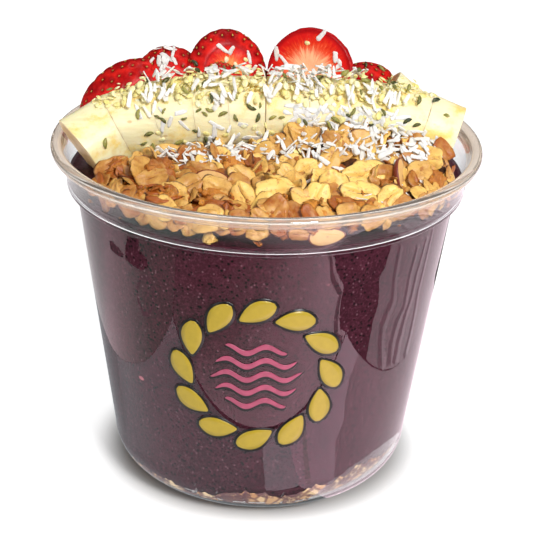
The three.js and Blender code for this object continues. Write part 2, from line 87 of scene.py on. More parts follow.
# The cuts through the bent banana: x, y, z, pitch, yaw and radius.
BANANA_CUTS = [
    (-49.9, -7.0, 95.2, 32, 27, 9.7),
    (-40.4, -1.2, 99.8, 27, 14, 9.5),
    (-30.0, 0.0, 102.7, 16, 6, 9.5),
    (-19.5, 0.3, 104.2, 8, 2, 9.5),
    (-10.0, 0.3, 104.8, 5, 0, 9.4),
    (-0.4, 0.3, 104.9, 1, 0, 9.3),
    (11.2, 0.3, 105.0, -2, -2, 9.3),
    (21.5, 0.3, 104.7, -5, -3, 9.4),
    (31.5, 0.3, 103.8, -11, -4, 9.4),
    (41.6, 0.3, 101.5, -19, -5, 9.4),
    (50.7, -0.5, 98.4, -18, -8, 9.2),
]
CUT_GAPS = [0.05, -0.03, -0.05, -0.05, -0.05, 0.08, -0.05, -0.05, -0.05, 0.0, 0.05]
EXTRA_BANANA = [(31.2, 20.2, 103.2, -38, -8, 8.8), (38.4, 19.0, 97.6, -38, -8, 8.8)]

# Strawberry halves. The tip and the face are directions, and the face is the cut face's normal.
# The cut is the share of the flat face that it takes; the rest is a rounded shoulder of skin.
# The core is how pale the middle of the cut is.
Berry = namedtuple("Berry", "centre tip face tip_length base_length half_width depth cut core")
STRAWBERRIES = [Berry(*values) for values in [
    ((-39.7, 18.8, 101.0), (0.74, 0.1, 0.66), (0.25, 0.9, 0.1), 13.8, 15.2, 10.2, 8.6, 1.0, 1.0),
    ((-27.8, 22.5, 104.6), (0.05, 0.25, 0.95), (0.1, 0.95, -0.25), 10.8, 12, 10.2, 9, 1.0, 1.0),
    ((-11.6, 19.0, 109.4), (-0.03, 0.3, 0.95), (0.25, -0.92, 0.29), 12.3, 15.6, 11.4, 8, 0.66, 0.25),
    ((-12.7, 14.2, 107.2), (-0.3, 0.2, 0.9), (0.3, -0.9, 0.3), 7, 7, 6.2, 3.4, 0.8, 0.1),
    ((11.5, 17.0, 110.6), (-0.14, 0.3, 0.94), (-0.22, -0.92, 0.3), 12.6, 17.4, 12.4, 9, 0.97, 1.0),
    ((27.5, 30.5, 101.5), (-0.1, 0.1, 0.97), (0.05, 0.9, -0.3), 8.5, 10, 9.6, 9, 1.0, 0.6),
    ((-29.0, 33.5, 98.0), (0.36, -0.4, 0.8), (0.6, -0.65, -0.5), 13, 11, 10, 9, 1.0, 0.8),
    ((-10.0, 40.0, 98.5), (0.1, -0.52, 0.83), (0.2, -0.83, -0.5), 13, 11, 10.4, 8.5, 1.0, 0.8),
    ((11.0, 39.5, 98.5), (-0.14, -0.52, 0.83), (-0.2, -0.83, -0.5), 13, 11, 10.4, 8.5, 1.0, 0.8),
    ((41.6, 16.8, 92.0), (-0.5, 0.75, 0.2), (-0.15, -0.1, -1), 9, 9, 7.6, 7, 1.0, 0.8),
]]
SHOULDER = 4.2
# Where the skin is torn: place and size.
TORN = [((-29.0, 14.2, 110.3), 3.4), ((-11.5, 11.0, 112.8), 3.6)]

# The photograph's camera: its frame in pixels, and where it stands.
PHOTO = 533
FOCAL_PIXELS = 1879.25
CENTRE_OFFSET_PIXELS = 3.15
CAMERA_DISTANCE = 526.5
CAMERA_ELEVATION = math.radians(24.265)
CAMERA_ROLL = 0.0263
LOOK_HEIGHT = 59.03


# ---- Meshes --------------------------------------------------------------------------------

def unit(vector):
    vector = np.asarray(vector, float)
    return vector / np.linalg.norm(vector)


def frame_along(direction, hint):
    """Three axes: the direction, the hint made square to it, and their cross product."""
    first = unit(direction)
    hint = np.asarray(hint, float)
    second = unit(hint - first * hint.dot(first))
    return first, second, np.cross(first, second)


def basis_on(normal, hint):
    """The axes of a bit that lies square to the normal: its length, width and thickness."""
    first, second, third = frame_along(normal, hint)
    return np.column_stack([second, third, first])


def smooth_noise(points, per_mm, seed=0.0):
    """A noise value between about -1 and 1 for each point."""
    shift = Vector((seed * 7.31, seed * 3.77, seed * 5.93))
    return np.array([noise.noise(Vector(p) * per_mm + shift) for p in points])


def around(sides):
    return np.linspace(0, TAU, sides, endpoint=False)


def ring_faces(rings, sides, closed=True):
    """The quads of a stack of rings whose points follow each other."""
    faces = []
    for level in range(rings - 1):
        for side in range(sides if closed else sides - 1):
            a = level * sides + side
            b = level * sides + (side + 1) % sides
            faces.append((a, b, b + sides, a + sides))
    return faces


def loft(rings, start, end):
    """A closed skin over a list of rings, with a fan round a point at each end."""
    sides = len(rings[0])
    points = np.concatenate([*rings, [start], [end]])
    first = len(rings) * sides
    faces = ring_faces(len(rings), sides)
    last = first - sides
    for side in range(sides):
        after = (side + 1) % sides
        faces.append((first, after, side))
        faces.append((first + 1, last + side, last + after))
    return points, faces


def lathe(profile, sides):
    """Turns (radius, height) points about Z. The first and last lie on the axis."""
    angles = around(sides)
    rings = [
        np.stack([r * np.cos(angles), r * np.sin(angles), np.full(sides, z)], axis=1)
        for r, z in profile[1:-1]
    ]
    return loft(rings, (0, 0, profile[0][1]), (0, 0, profile[-1][1]))


def slab(over, under, columns):
    """A closed shape between two grids of points, whose rows have the columns given."""
    count = len(over)
    upper = ring_faces(count // columns, columns, closed=False)
    faces = upper + [tuple(i + count for i in face[::-1]) for face in upper]
    border = [*range(columns), *range(2 * columns - 1, count, columns),
              *range(count - 2, count - columns - 1, -1), *range(count - 2 * columns, 0, -columns)]
    for a, b in zip(border, border[1:] + border[:1]):
        faces.append((b, a, a + count, b + count))
    return np.concatenate([over, under]), faces


def icosphere(level):
    """A unit ball as points and triangles."""
    ball = bmesh.new()
    bmesh.ops.create_icosphere(ball, subdivisions=level, radius=1.0)
    ball.verts.index_update()
    points = np.array([vertex.co[:] for vertex in ball.verts])
    faces = [tuple(vertex.index for vertex in face.verts) for face in ball.faces]
    ball.free()
    return points, faces


def turn_outwards(mesh):
    """Turns every face of a closed mesh outwards."""
    edit = bmesh.new()
    edit.from_mesh(mesh)
    bmesh.ops.recalc_face_normals(edit, faces=edit.faces)
    edit.to_mesh(mesh)
    edit.free()
    mesh.update()


def piece(name, shape, material, slot, nodes=(), **attributes):
    """Makes an object of the shape, which rides on the bowl and stands for the nodes given."""
    points, faces = shape
    mesh = bpy.data.meshes.new(name)
    mesh.from_pydata((np.asarray(points) * MM).tolist(), [], faces)
    mesh.polygons.foreach_set("use_smooth", [True] * len(mesh.polygons))
    for key, values in attributes.items():
        values = np.asarray(values, np.float32)
        kind, field = ("FLOAT", "value") if values.ndim == 1 else ("FLOAT_VECTOR", "vector")
        mesh.attributes.new(key, kind, "POINT").data.foreach_set(field, values.ravel())
    turn_outwards(mesh)
    mesh.materials.append(material)
    made = bpy.data.objects.new(name, mesh)
    bpy.context.scene.collection.objects.link(made)
    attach(made, "root")
    if nodes:
        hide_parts(*nodes)
    return made


def joined(parts):
    """One shape from many (points, faces) parts."""
    points, faces, offset = [], [], 0
    for part_points, part_faces in parts:
        points.append(part_points)
        faces.extend(tuple(i + offset for i in face) for face in part_faces)
        offset += len(part_points)
    return np.concatenate(points), faces


def scatter(name, templates, placements, material, slot):
    """Joins a copy of a template (points, faces, browning and painted shade) at each (template,
    basis, centre, tint).
    """
    parts, tints, shades = [], [], []
    for index, basis, centre, tint in placements:
        points, faces, shade = templates[index]
        parts.append((points @ np.asarray(basis).T + centre, faces))
        tints.append(np.full(len(points), tint))
        shades.append(np.broadcast_to(shade, len(points)))
    piece(name, joined(parts), material, slot,
          tint=np.concatenate(tints), shade=np.concatenate(shades))


# ---- Shaders -------------------------------------------------------------------------------

def srgb(red, green, blue):
    """A shader colour from 0 to 255 display values."""
    def linear(value):
        value /= 255
        return value / 12.92 if value <= 0.04045 else ((value + 0.055) / 1.055) ** 2.4
    return (linear(red), linear(green), linear(blue), 1.0)


class Shader:
    """A material whose nodes are added by short calls. Patterns are sized in bits per mm."""

    def __init__(self, name):
        self.material = bpy.data.materials.new(name)
        self.material.use_nodes = True
        self.tree = self.material.node_tree
        self.surface = self.tree.nodes["Principled BSDF"]
        self.place = self.add("ShaderNodeTexCoord").outputs["Object"]

    def add(self, kind, inputs=None, **settings):
        made = self.tree.nodes.new(kind)
        for key, value in settings.items():
            setattr(made, key, value)
        for key, value in (inputs or {}).items():
            self.feed(made.inputs[key], value)
        return made

    def feed(self, socket, value):
        """Links or sets a socket. A colour of three numbers is in 0 to 255 display values."""
        if isinstance(value, bpy.types.NodeSocket):
            self.tree.links.new(value, socket)
        elif socket.type == "RGBA" and len(value) == 3:
            socket.default_value = srgb(*value)
        else:
            socket.default_value = value

    def set(self, **values):
        """Feeds the surface's inputs, and gives the material."""
        for key, value in values.items():
            self.feed(self.surface.inputs[key.replace("_", " ")], value)
        return self.material

    def stretched(self, scale):
        return self.add("ShaderNodeMapping", {"Vector": self.place, "Scale": scale}).outputs["Vector"]

    def noise(self, per_mm, detail=4.0, roughness=0.55, scale=None):
        made = self.add("ShaderNodeTexNoise", {
            "Vector": self.stretched(scale) if scale else self.place,
            "Scale": per_mm * PER_MM, "Detail": detail, "Roughness": roughness,
        })
        return made.outputs["Fac"]

    def cells(self, per_mm, output="Distance", feature="F1", scale=None):
        made = self.add("ShaderNodeTexVoronoi", {
            "Vector": self.stretched(scale) if scale else self.place, "Scale": per_mm * PER_MM,
        }, feature=feature)
        return made.outputs[output]

    def dots(self, per_mm, edge, middle, scale=None):
        """Soft dots that start at the distance edge from a cell's point and are full at middle."""
        return self.step(self.cells(per_mm, scale=scale), edge, middle)

    def patches(self, per_mm, detail, roughness, low, high, scale=None):
        return self.step(self.noise(per_mm, detail, roughness, scale), low, high)

    def value(self, name, output="Fac"):
        return self.add("ShaderNodeAttribute", attribute_name=name).outputs[output]

    def split(self, vector):
        return self.add("ShaderNodeSeparateXYZ", {"Vector": vector}).outputs

    def math(self, operation, a, b=0.0, clamp=False):
        made = self.add("ShaderNodeMath", {0: a, 1: b}, operation=operation, use_clamp=clamp)
        return made.outputs[0]

    def times(self, a, b):
        return self.math("MULTIPLY", a, b)

    def plus(self, a, b, clamp=False):
        return self.math("ADD", a, b, clamp)

    def polar(self, x, y):
        """The radius and the angle of a point."""
        square = self.plus(self.times(x, x), self.times(y, y))
        return self.math("SQRT", square), self.math("ARCTAN2", y, x)

    def step(self, value, low, high):
        """Rises smoothly from 0 at low to 1 at high, or falls if high is the smaller."""
        made = self.add("ShaderNodeMapRange", {
            "Value": value, "From Min": low, "From Max": high,
        }, interpolation_type="SMOOTHSTEP")
        return made.outputs["Result"]

    def paint(self, under, mask, over, share=1.0):
        """The colour under, and the share given of the colour over where the mask is 1."""
        if share < 1:
            mask = self.times(mask, share)
        made = self.add("ShaderNodeMix", data_type="RGBA")
        self.feed(made.inputs[0], mask)
        self.feed(made.inputs[6], under)
        self.feed(made.inputs[7], over)
        return made.outputs[2]

    def bump(self, height, distance, strength=1.0, normal=None):
        inputs = {"Height": height, "Distance": distance * MM, "Strength": strength}
        if normal:
            inputs["Normal"] = normal
        return self.add("ShaderNodeBump", inputs).outputs["Normal"]


def plastic_material(name, colour, clearness):
    """Clear plastic that lets lamps through to what it holds."""
    s = Shader(name)
    s.set(Base_Color=colour, Roughness=0.03, IOR=1.49, Transmission_Weight=clearness)
    paths = s.add("ShaderNodeLightPath").outputs
    through = s.math("MAXIMUM", paths["Is Shadow Ray"], paths["Is Diffuse Ray"])
    clear = s.add("ShaderNodeBsdfTransparent", {"Color": (0.97, 0.97, 0.97, 1.0)})
    both = s.add("ShaderNodeMixShader", {0: through, 1: s.surface.outputs[0], 2: clear.outputs[0]})
    s.feed(s.tree.nodes["Material Output"].inputs["Surface"], both.outputs[0])
    return s.material


def acai_material():
    s = Shader("acai")
    colour = s.paint((46, 10, 23), s.patches(0.05, 5, 0.6, 0.3, 0.7), (60, 18, 32))
    colour = s.paint(colour, s.patches(1.3, 4, 0.75, 0.42, 0.75), (92, 40, 56))
    sparse = s.patches(0.5, 2, 0.55, 0.38, 0.48)
    colour = s.paint(colour, s.times(s.dots(0.75, 0.34, 0.2), sparse), (6, 1, 3))
    colour = s.paint(colour, s.dots(0.26, 0.12, 0.07, (1.1, 1, 1)), (14, 6, 10))
    colour = s.paint(colour, s.dots(0.5, 0.2, 0.1, (1.3, 1.3, 1)), (134, 92, 104), 0.6)
    colour = s.paint(colour, s.dots(0.045, 0.06, 0.035, (1, 1, 1.7)), (196, 112, 122), 0.8)
    return s.set(Base_Color=colour, Roughness=0.35, Specular_IOR_Level=0.1,
                 Normal=s.bump(s.noise(0.9, 4), 0.12, 0.5))


def base_granola_material():
    s = Shader("base_granola")
    colour = s.paint((232, 204, 160), s.split(s.cells(0.2, "Color"))[0], (186, 130, 82))
    edge = s.step(s.cells(0.2, feature="DISTANCE_TO_EDGE"), 0.12, 0.02)
    colour = s.paint(colour, edge, (110, 62, 58), 0.8)
    colour = s.paint(colour, s.patches(0.22, 4, 0.7, 0.44, 0.54), (92, 50, 60), 0.9)
    return s.set(Base_Color=colour, Roughness=0.6, Normal=s.bump(s.noise(0.8, 5), 0.4, 0.7))


def banana_material():
    s = Shader("banana")
    x, y, face = s.split(s.value("cross", "Vector"))[:]
    radius, angle = s.polar(x, y)
    side = s.paint((255, 242, 195), s.patches(0.14, 5, 0.65, 0.46, 0.7), (248, 213, 116))
    side = s.paint(side, s.patches(0.6, 3, 0.6, 0.5, 0.72, (0.14, 1, 1)), (232, 204, 140), 0.35)
    side = s.paint(side, s.dots(0.22, 0.13, 0.05, (0.6, 1, 1)), (206, 152, 82), 0.55)
    # The cut face: tan flesh, a paler rim, and a three-armed middle with small seeds.
    arms = s.times(s.math("COSINE", s.times(angle, 3.0)), 0.1)
    middle = s.step(s.math("SUBTRACT", radius, arms), 0.42, 0.28)
    flesh = s.paint((196, 156, 104), s.step(radius, 0.75, 0.98), (226, 196, 148))
    flesh = s.paint(flesh, middle, (184, 142, 84), 0.6)
    flesh = s.paint(flesh, s.patches(0.35, 4, 0.7, 0.5, 0.72), (156, 108, 62), 0.5)
    seeds = s.times(s.dots(0.8, 0.26, 0.16), s.step(radius, 0.5, 0.35))
    flesh = s.paint(flesh, seeds, (64, 38, 24), 0.85)
    fibres = s.noise(0.5, 5, 0.65, (0.12, 1, 1))
    return s.set(Base_Color=s.paint(side, face, flesh), Roughness=0.45, Subsurface_Weight=0.25,
                 Subsurface_Scale=0.004, Subsurface_Radius=(1.0, 0.75, 0.4),
                 Normal=s.bump(s.noise(1.4, 3), 0.08, 0.6, s.bump(fibres, 0.3, 0.8)))


def berry_material():
    s = Shader("strawberry")
    x, y, face = s.split(s.value("cross", "Vector"))[:]
    radius, angle = s.polar(x, y)
    skin = s.paint((158, 8, 14), s.patches(0.22, 4, 0.6, 0.36, 0.66), (220, 34, 28))
    # The skin is darker in the seeds' pits: painted shade in the hollows.
    skin = s.paint(skin, s.value("pit"), (84, 2, 8), 0.8)
    rough = s.plus(s.value("torn"), s.math("SUBTRACT", s.noise(0.7, 4, 0.7), 0.5))
    skin = s.paint(skin, s.step(rough, 0.45, 0.7), (222, 104, 96))
    # Fibres run from the core, which is pale or orange, out to the skin.
    spread = s.add("ShaderNodeCombineXYZ", {"X": s.times(angle, 5.0), "Y": s.times(radius, 1.3)})
    rays = s.add("ShaderNodeTexNoise", {
        "Vector": spread.outputs[0], "Scale": 2.4, "Detail": 3.0, "Roughness": 0.6,
    }).outputs["Fac"]
    core = s.value("core")
    reach = s.plus(radius, s.times(s.math("SUBTRACT", rays, 0.5), 0.7))
    flesh = s.paint((255, 128, 30), core, (246, 188, 144))
    flesh = s.paint(flesh, s.step(reach, 0.34, 0.68), (240, 76, 36))
    flesh = s.paint(flesh, s.step(reach, 0.5, 0.85), (210, 24, 22))
    streaks = s.times(s.step(rays, 0.56, 0.68), s.step(radius, 0.95, 0.5))
    flesh = s.paint(flesh, s.times(streaks, core), (238, 134, 96))
    flesh = s.paint(flesh, s.step(radius, 0.86, 0.97), (160, 8, 16))
    return s.set(Base_Color=s.paint(skin, face, flesh), Roughness=0.36, Subsurface_Weight=0.15,
                 Subsurface_Scale=0.002, Subsurface_Radius=(1.0, 0.25, 0.15),
                 Specular_IOR_Level=0.14, Normal=s.bump(s.noise(1.1, 4, 0.6), 0.12, 0.6))


def core_in_painted_shade_material():
    s = Shader("granola_core")
    # The core is very dark brown: painted shade for the gaps between the bits laid on it.
    colour = s.paint((30, 12, 5), s.patches(0.6, 5, 0.7, 0.3, 0.7), (112, 60, 22))
    return s.set(Base_Color=colour, Roughness=0.8, Normal=s.bump(s.noise(1.2, 5, 0.7), 0.8, 1.0))


def tinted_material(name, pale, deep, edge, roughness, grain, bump, spots=None, soft=0.0):
    """A food colour from pale to deep with each bit's own tint, and its edge colour by the mask of
    browning and painted shade.
    """
    s = Shader(name)
    mottled = s.times(s.math("SUBTRACT", s.noise(grain, 5, 0.65), 0.5), 1.3)
    colour = s.paint(pale, s.plus(s.value("tint"), mottled, clamp=True), deep)
    if spots:
        freckled = s.patches(grain * 5, 4, 0.7, 0.56, 0.68)
        spotted = s.math("MAXIMUM", s.patches(grain * 1.7, 3, 0.6, 0.58, 0.7), freckled)
        colour = s.paint(colour, spotted, spots, 0.6)
    # The edge colour goes where a bit browns, and in creases and hollows as painted shade.
    uneven = s.plus(s.value("shade"), s.times(mottled, 0.5), clamp=True)
    colour = s.paint(colour, s.step(uneven, 0.35, 0.95), edge)
    return s.set(Base_Color=colour, Roughness=roughness, Subsurface_Weight=soft,
                 Subsurface_Scale=0.0015, Subsurface_Radius=(1.0, 0.95, 0.8),
                 Normal=s.bump(s.noise(grain * 3, 4, 0.7), bump, 0.7))


def ink_material(name, colour, roughness, variation, grain):
    s = Shader(name)
    darker = tuple(value * (1 - variation) for value in colour)
    return s.set(Base_Color=s.paint(colour, s.noise(grain, 3), darker), Roughness=roughness)


# ---- Cup -----------------------------------------------------------------------------------

def arc(centre, halves, start, end, steps):
    """Points along an ellipse, as (radius, height), between two angles in degrees."""
    angles = np.radians(np.linspace(start, end, steps))
    return [
        (centre[0] + halves[0] * math.cos(a), centre[1] + halves[1] * math.sin(a)) for a in angles
    ]


def straight(start, end, near=0.8):
    """A straight run whose normals stay its own: points just inside its two ends, and its end."""
    (r0, z0), (r1, z1) = start, end
    share = near / (z1 - z0)
    return [(r0 + (r1 - r0) * t, z0 + (z1 - z0) * t) for t in (share, 1 - share, 1.0)]


def inner_profile():
    """The cup's inner face above its floor, from the foot up to the rim."""
    heel = arc((FOOT_RADIUS - HEEL_EXTRA, HEEL_HEIGHT),
               (HEEL_RADIUS - FOOT_RADIUS - CUP_WALL + HEEL_EXTRA,
                HEEL_HEIGHT - CUP_WALL - HEEL_EXTRA), -90, 0, 14)
    fillet = arc((BAND_RADIUS - CUP_WALL - 0.9, BAND_BOTTOM + CUP_WALL + 0.3), (0.9, 0.9), -90, 0, 6)
    return [
        *heel,
        *straight(heel[-1], (LEDGE_RADIUS - CUP_WALL, LEDGE_HEIGHT + CUP_WALL)),
        *fillet,
        *straight(fillet[-1], (BAND_TOP_RADIUS - CUP_WALL, BAND_TOP))[::2],
    ]


INNER = inner_profile()


def wall_radius(height):
    """The radius of the cup's inner face."""
    return np.interp(height, [z for _, z in INNER], [r for r, _ in INNER])


def cup_profile():
    """The whole cup's section, from the middle of its foot round the rim to the inner floor."""
    heel = arc((FOOT_RADIUS, HEEL_HEIGHT), (HEEL_RADIUS - FOOT_RADIUS, HEEL_HEIGHT), -90, 0, 16)
    rim = arc((RIM_RADIUS, RIM_HEIGHT), (RIM_HALF_WIDTH, RIM_HALF_HEIGHT), -125, 140, 30)
    fillet = arc((BAND_RADIUS - 0.8, BAND_BOTTOM + 0.1), (0.8, 0.7), -80, 0, 8)
    return [
        (0, RECESS_HEIGHT), (FOOT_INNER_RADIUS - 2.4, RECESS_HEIGHT),
        (FOOT_INNER_RADIUS - 1.6, RECESS_HEIGHT - 0.15), (FOOT_INNER_RADIUS - 0.5, 0.1),
        (FOOT_INNER_RADIUS, 0), *heel,
        *straight(heel[-1], (LEDGE_RADIUS - 0.06, LEDGE_HEIGHT - 0.4)),
        *arc((LEDGE_RADIUS + 0.35, LEDGE_HEIGHT + 0.1), (0.35, 0.35), 180, 90, 5),
        *fillet,
        *straight(fillet[-1], (BAND_TOP_RADIUS, BAND_TOP - 0.3))[::2],
        *rim,
        *INNER[::-1],
        (FOOT_INNER_RADIUS + 0.3, CUP_WALL + HEEL_EXTRA),
        (FOOT_INNER_RADIUS - 2, RECESS_HEIGHT + CUP_WALL),
        (0, RECESS_HEIGHT + CUP_WALL),
    ]


def outer_radius(height):
    """The cup's outside between its heel and its ledge."""
    return np.interp(height, [HEEL_HEIGHT, LEDGE_HEIGHT], [HEEL_RADIUS, LEDGE_RADIUS])


# How far out the food may reach: the radii at four heights.
FOOD_HEIGHTS = [BAND_BOTTOM, BAND_TOP, RIM_HEIGHT + 1.3, RIM_HEIGHT + 2.6]
FOOD_RADII = [53.3, 53.9, 54.9, 60.0]


def keep_inside(points):
    """Presses points that would pass through the wall or the rim back inside them."""
    most = np.interp(points[:, 2], FOOD_HEIGHTS, FOOD_RADII)
    scale = np.minimum(1, most / np.maximum(np.hypot(points[:, 0], points[:, 1]), 1))
    return points * np.column_stack([scale, scale, np.ones(len(points))])


def make_cup():
    """The cup, clear in its thin wall and a little milky in its thick rim."""
    clear = plastic_material("clear_plastic", (250, 251, 252), 1.0)
    cup = piece("cup_shell", lathe(cup_profile(), CUP_SIDES), clear, "clear_plastic", ["cup"]).data
    cup.materials.append(plastic_material("rim_plastic", (230, 216, 202), 0.8))
    for face in cup.polygons:
        face.material_index = int(face.center.z > BAND_TOP * MM)


# ---- Smoothie and the granola under it -----------------------------------------------------

# The height of the line between the granola and the smoothie at the wall, by azimuth.
SEAM = [(0, 10.0), (60, 8.0), (180, 8.0), (223, 8.4), (240, 7.8), (248, 7.4), (256, 8.6), (267, 10.2),
        (278, 8.4), (286, 10.0), (300, 10.8), (309, 13.0), (318, 13.4), (334, 10.6), (360, 10.0)]
# Where the corner of the cup stays empty: middle azimuth, half width and the gap at most.
CORNER_GAP = (325.0, 34.0, 0.9)
AZIMUTHS = np.linspace(0, 360, CUP_SIDES, endpoint=False)


def base_top(x, y):
    slope = BASE_SLOPE * (0.7 * x - 0.7 * y) / HEEL_RADIUS
    bumps = np.sin(x * 0.42 + 1.3) * np.cos(y * 0.37) + 0.6 * np.sin(0.9 * x - 0.7 * y)
    return np.maximum(3.0, BASE_DEPTH + slope + BASE_BUMP * bumps) + 0.2


def acai_top(x, y):
    radius = np.minimum(1, np.hypot(x, y) / BAND_RADIUS)
    return ACAI_LEVEL + ACAI_MOUND * (1 - radius ** 2) ** 1.3


def smoothie_top(x, y):
    """The rippled top of the smoothie, which climbs a little where it meets the wall."""
    points = np.stack([x, y, 0 * x], axis=1)
    ripple = 0.35 * smooth_noise(points, 0.12, 5) + 0.12 * smooth_noise(points, 0.5, 6)
    to_wall = wall_radius(ACAI_LEVEL) + INTO_WALL - np.hypot(x, y)
    return acai_top(x, y) + ripple * np.clip(to_wall / 2, 0, 1) + 0.5 * np.exp(-to_wall / 0.8) - 0.5


def disc_rings(reach, height_at, steps, sides):
    """Rings over a round area, from its edge inwards."""
    rings = []
    for share in np.linspace(1, 0, steps, endpoint=False):
        x = reach * share * np.cos(around(sides))
        y = reach * share * np.sin(around(sides))
        rings.append(np.stack([x, y, height_at(x, y)], axis=1))
    return rings


def corner_gap(height):
    """How far the contents stand back from the wall at each azimuth."""
    middle, half, most = CORNER_GAP
    near = np.clip(1 - ((AZIMUTHS - middle) / half) ** 2, 0, 1)
    return (most * near + 0.15) * np.clip((9 + 8 * near - height) / 5, 0, 1)


def at_wall(height):
    """A ring of the contents, at one height or at a height for each azimuth."""
    height = np.broadcast_to(height, CUP_SIDES)
    radius = wall_radius(height) - corner_gap(height) + INTO_WALL
    angles = around(CUP_SIDES)
    return np.stack([radius * np.cos(angles), radius * np.sin(angles), height], axis=1)


def ragged_seam():
    """The uneven line between the granola and the smoothie, as it shows at the wall."""
    angle = np.radians(AZIMUTHS)
    points = np.stack([np.cos(angle), np.sin(angle), 0 * angle], axis=1)
    rough = smooth_noise(points, 9.0, 3) + 0.7 * smooth_noise(points, 26.0, 4)
    return np.interp(AZIMUTHS, [a for a, _ in SEAM], [z for _, z in SEAM]) + 2.1 * rough


def make_base(seam):
    low = CUP_WALL + HEEL_EXTRA
    inner_floor = RECESS_HEIGHT + CUP_WALL - INTO_WALL
    floor = [(0, 0), (FOOT_INNER_RADIUS - 2, inner_floor),
             (FOOT_INNER_RADIUS + 0.3, low - INTO_WALL), (0, 0)]
    under = lathe(floor, CUP_SIDES)[0][:2 * CUP_SIDES]
    rings = [under[:CUP_SIDES], under[CUP_SIDES:],
             *[at_wall(low + share * (seam - low)) for share in np.linspace(0, 1, 9)],
             *disc_rings(wall_radius(BASE_DEPTH) - 2, base_top, 8, CUP_SIDES)]
    shape = loft(rings, (0, 0, inner_floor), (0, 0, base_top(0.0, 0.0)))
    piece("base_granola", shape, base_granola_material(), "granola", ["granola_base"])


def make_smoothie(seam):
    under = disc_rings(wall_radius(BASE_DEPTH) - 0.5, base_top, 6, CUP_SIDES)
    walls = [at_wall(seam + share * (ACAI_LEVEL - seam)) for share in np.linspace(0, 1, 40)[:-1]]
    surface = disc_rings(wall_radius(ACAI_LEVEL) + INTO_WALL, smoothie_top, 44, CUP_SIDES)
    shape = loft([*under[::-1], *walls, *surface],
                 (0, 0, base_top(0.0, 0.0)), (0, 0, acai_top(0.0, 0.0) - 0.3))
    piece("smoothie", shape, acai_material(), "acai", ["acai"])


# ---- Banana slices -------------------------------------------------------------------------

def banana_axis(cut):
    pitch, yaw = np.radians(cut[3:5])
    return np.array([
        math.cos(pitch) * math.cos(yaw), math.cos(pitch) * math.sin(yaw), math.sin(pitch),
    ])


def banana_ring(cut, shift, scale, sides):
    """A ring near a cut, and where its points lie on the cross section."""
    axis, up, side = frame_along(banana_axis(cut), UP)
    angles = around(sides)
    ridges = 0.02 * np.cos(5 * angles + 0.6) + 0.03 * (0.6 - np.abs(np.sin(2.5 * angles + 0.3)))
    radius = cut[5] * scale * (1 + ridges)
    centre = np.array(cut[:3]) + axis * shift
    ring = centre + np.outer(radius * np.cos(angles), up) + np.outer(radius * np.sin(angles), side)
    return ring, scale * np.stack([np.sin(angles), np.cos(angles)], axis=1)


def between(start, end, share):
    return tuple(a + share * (b - a) for a, b in zip(start, end))


def banana_shape(start, end, gaps, seed):
    """A slice between two cuts, with round-edged ends that stand back from the cuts by the gaps."""
    sides, bevel = 96, 0.16
    first, last = gaps
    inner = 1 - bevel / start[5]
    # An end's rings: how far they stand in, their scale, and how much they belong to the cut face.
    cap = [(0.0, share, 1.0) for share in np.linspace(0.06, inner - 0.01, 14)]
    cap += [(bevel * (1 - math.cos(turn)), inner + (1 - inner) * math.sin(turn), math.cos(turn))
            for turn in np.radians([0, 22, 45, 68])]
    rows = [(start, first + back, scale, flag) for back, scale, flag in cap]
    for share in np.linspace(0, 1, 14):
        shift = (1 - share) * (first + bevel) - share * (last + bevel)
        rows.append((between(start, end, share), shift, 1.0, 0.0))
    rows += [(end, -last - back, scale, flag) for back, scale, flag in cap[::-1]]

    rings, crosses = zip(*[banana_ring(*row[:3], sides) for row in rows])
    axis = banana_axis(start)
    points, faces = loft(rings, np.array(start[:3]) + axis * first,
                         np.array(end[:3]) - banana_axis(end) * last)
    cross = np.concatenate([*crosses, [[0, 0]], [[0, 0]]])
    flag = np.concatenate([np.repeat([row[3] for row in rows], sides), [1.0, 1.0]])
    outward = points - np.array(between(start, end, 0.5)[:3])
    outward -= np.outer(outward @ axis, axis)
    outward /= np.maximum(np.linalg.norm(outward, axis=1, keepdims=True), 0.5)
    dents = 0.16 * smooth_noise(points, 0.22, seed) + 0.05 * smooth_noise(points, 0.8, seed)
    points = points + outward * (dents * (1 - flag) - 0.08)[:, None]
    relief = 0.112 * smooth_noise(points, 0.45, seed + 9) * flag
    return (keep_inside(points + np.outer(relief, axis)), faces), np.column_stack([cross, flag])


def make_bananas():
    material = banana_material()
    shapes = []
    slices = [*zip(BANANA_CUTS, BANANA_CUTS[1:]), EXTRA_BANANA]
    gaps = [*zip(CUT_GAPS, CUT_GAPS[1:]), (0.05, 0.05)]
    for number, ((start, end), gap) in enumerate(zip(slices, gaps), 1):
        shape, cross = banana_shape(start, end, gap, number)
        piece(f"banana_slice_{number}", shape, material, "banana", [f"banana_{number}"], cross=cross)
        shapes.append(shape)
    return shapes


# ---- Strawberry halves ---------------------------------------------------------------------

def berry_point(berry, theta, phi):
    """A point of the half's skin and its normal."""
    up, out, side = frame_along(berry.tip, berry.face)
    length = berry.tip_length if math.cos(theta) > 0 else berry.base_length
    along = length * math.cos(theta) * math.cos(phi)
    across = berry.half_width * math.sin(theta) * math.cos(phi)
    back = berry.depth * math.sin(phi)
    normal = unit(up * along / length ** 2 + side * across / berry.half_width ** 2
                  - out * back / berry.depth ** 2)
    return np.array(berry.centre) + up * along + side * across - out * back, normal


def berry_seeds(berry):
    """Places and normals of the seeds, in staggered rows over the skin and the shoulder."""
    places = []
    for row, phi in enumerate(np.radians([9, 27, 45, 63, 81])):
        count = max(3, round(24 * math.cos(phi)))
        for step in range(count):
            theta = TAU * (step + 0.5 * (row % 2)) / count + rng.uniform(-0.06, 0.06)
            places.append(berry_point(berry, theta, phi + rng.uniform(-0.05, 0.05)))
    front = berry._replace(depth=SHOULDER)
    for row, phi in enumerate(np.radians([-14, -30])):
        for step in range(20):
            theta = TAU * (step + 0.5 * row) / 20 + rng.uniform(-0.06, 0.06)
            if math.cos(phi) > berry.cut + 0.06:
                places.append(berry_point(front, theta, phi))
    return places


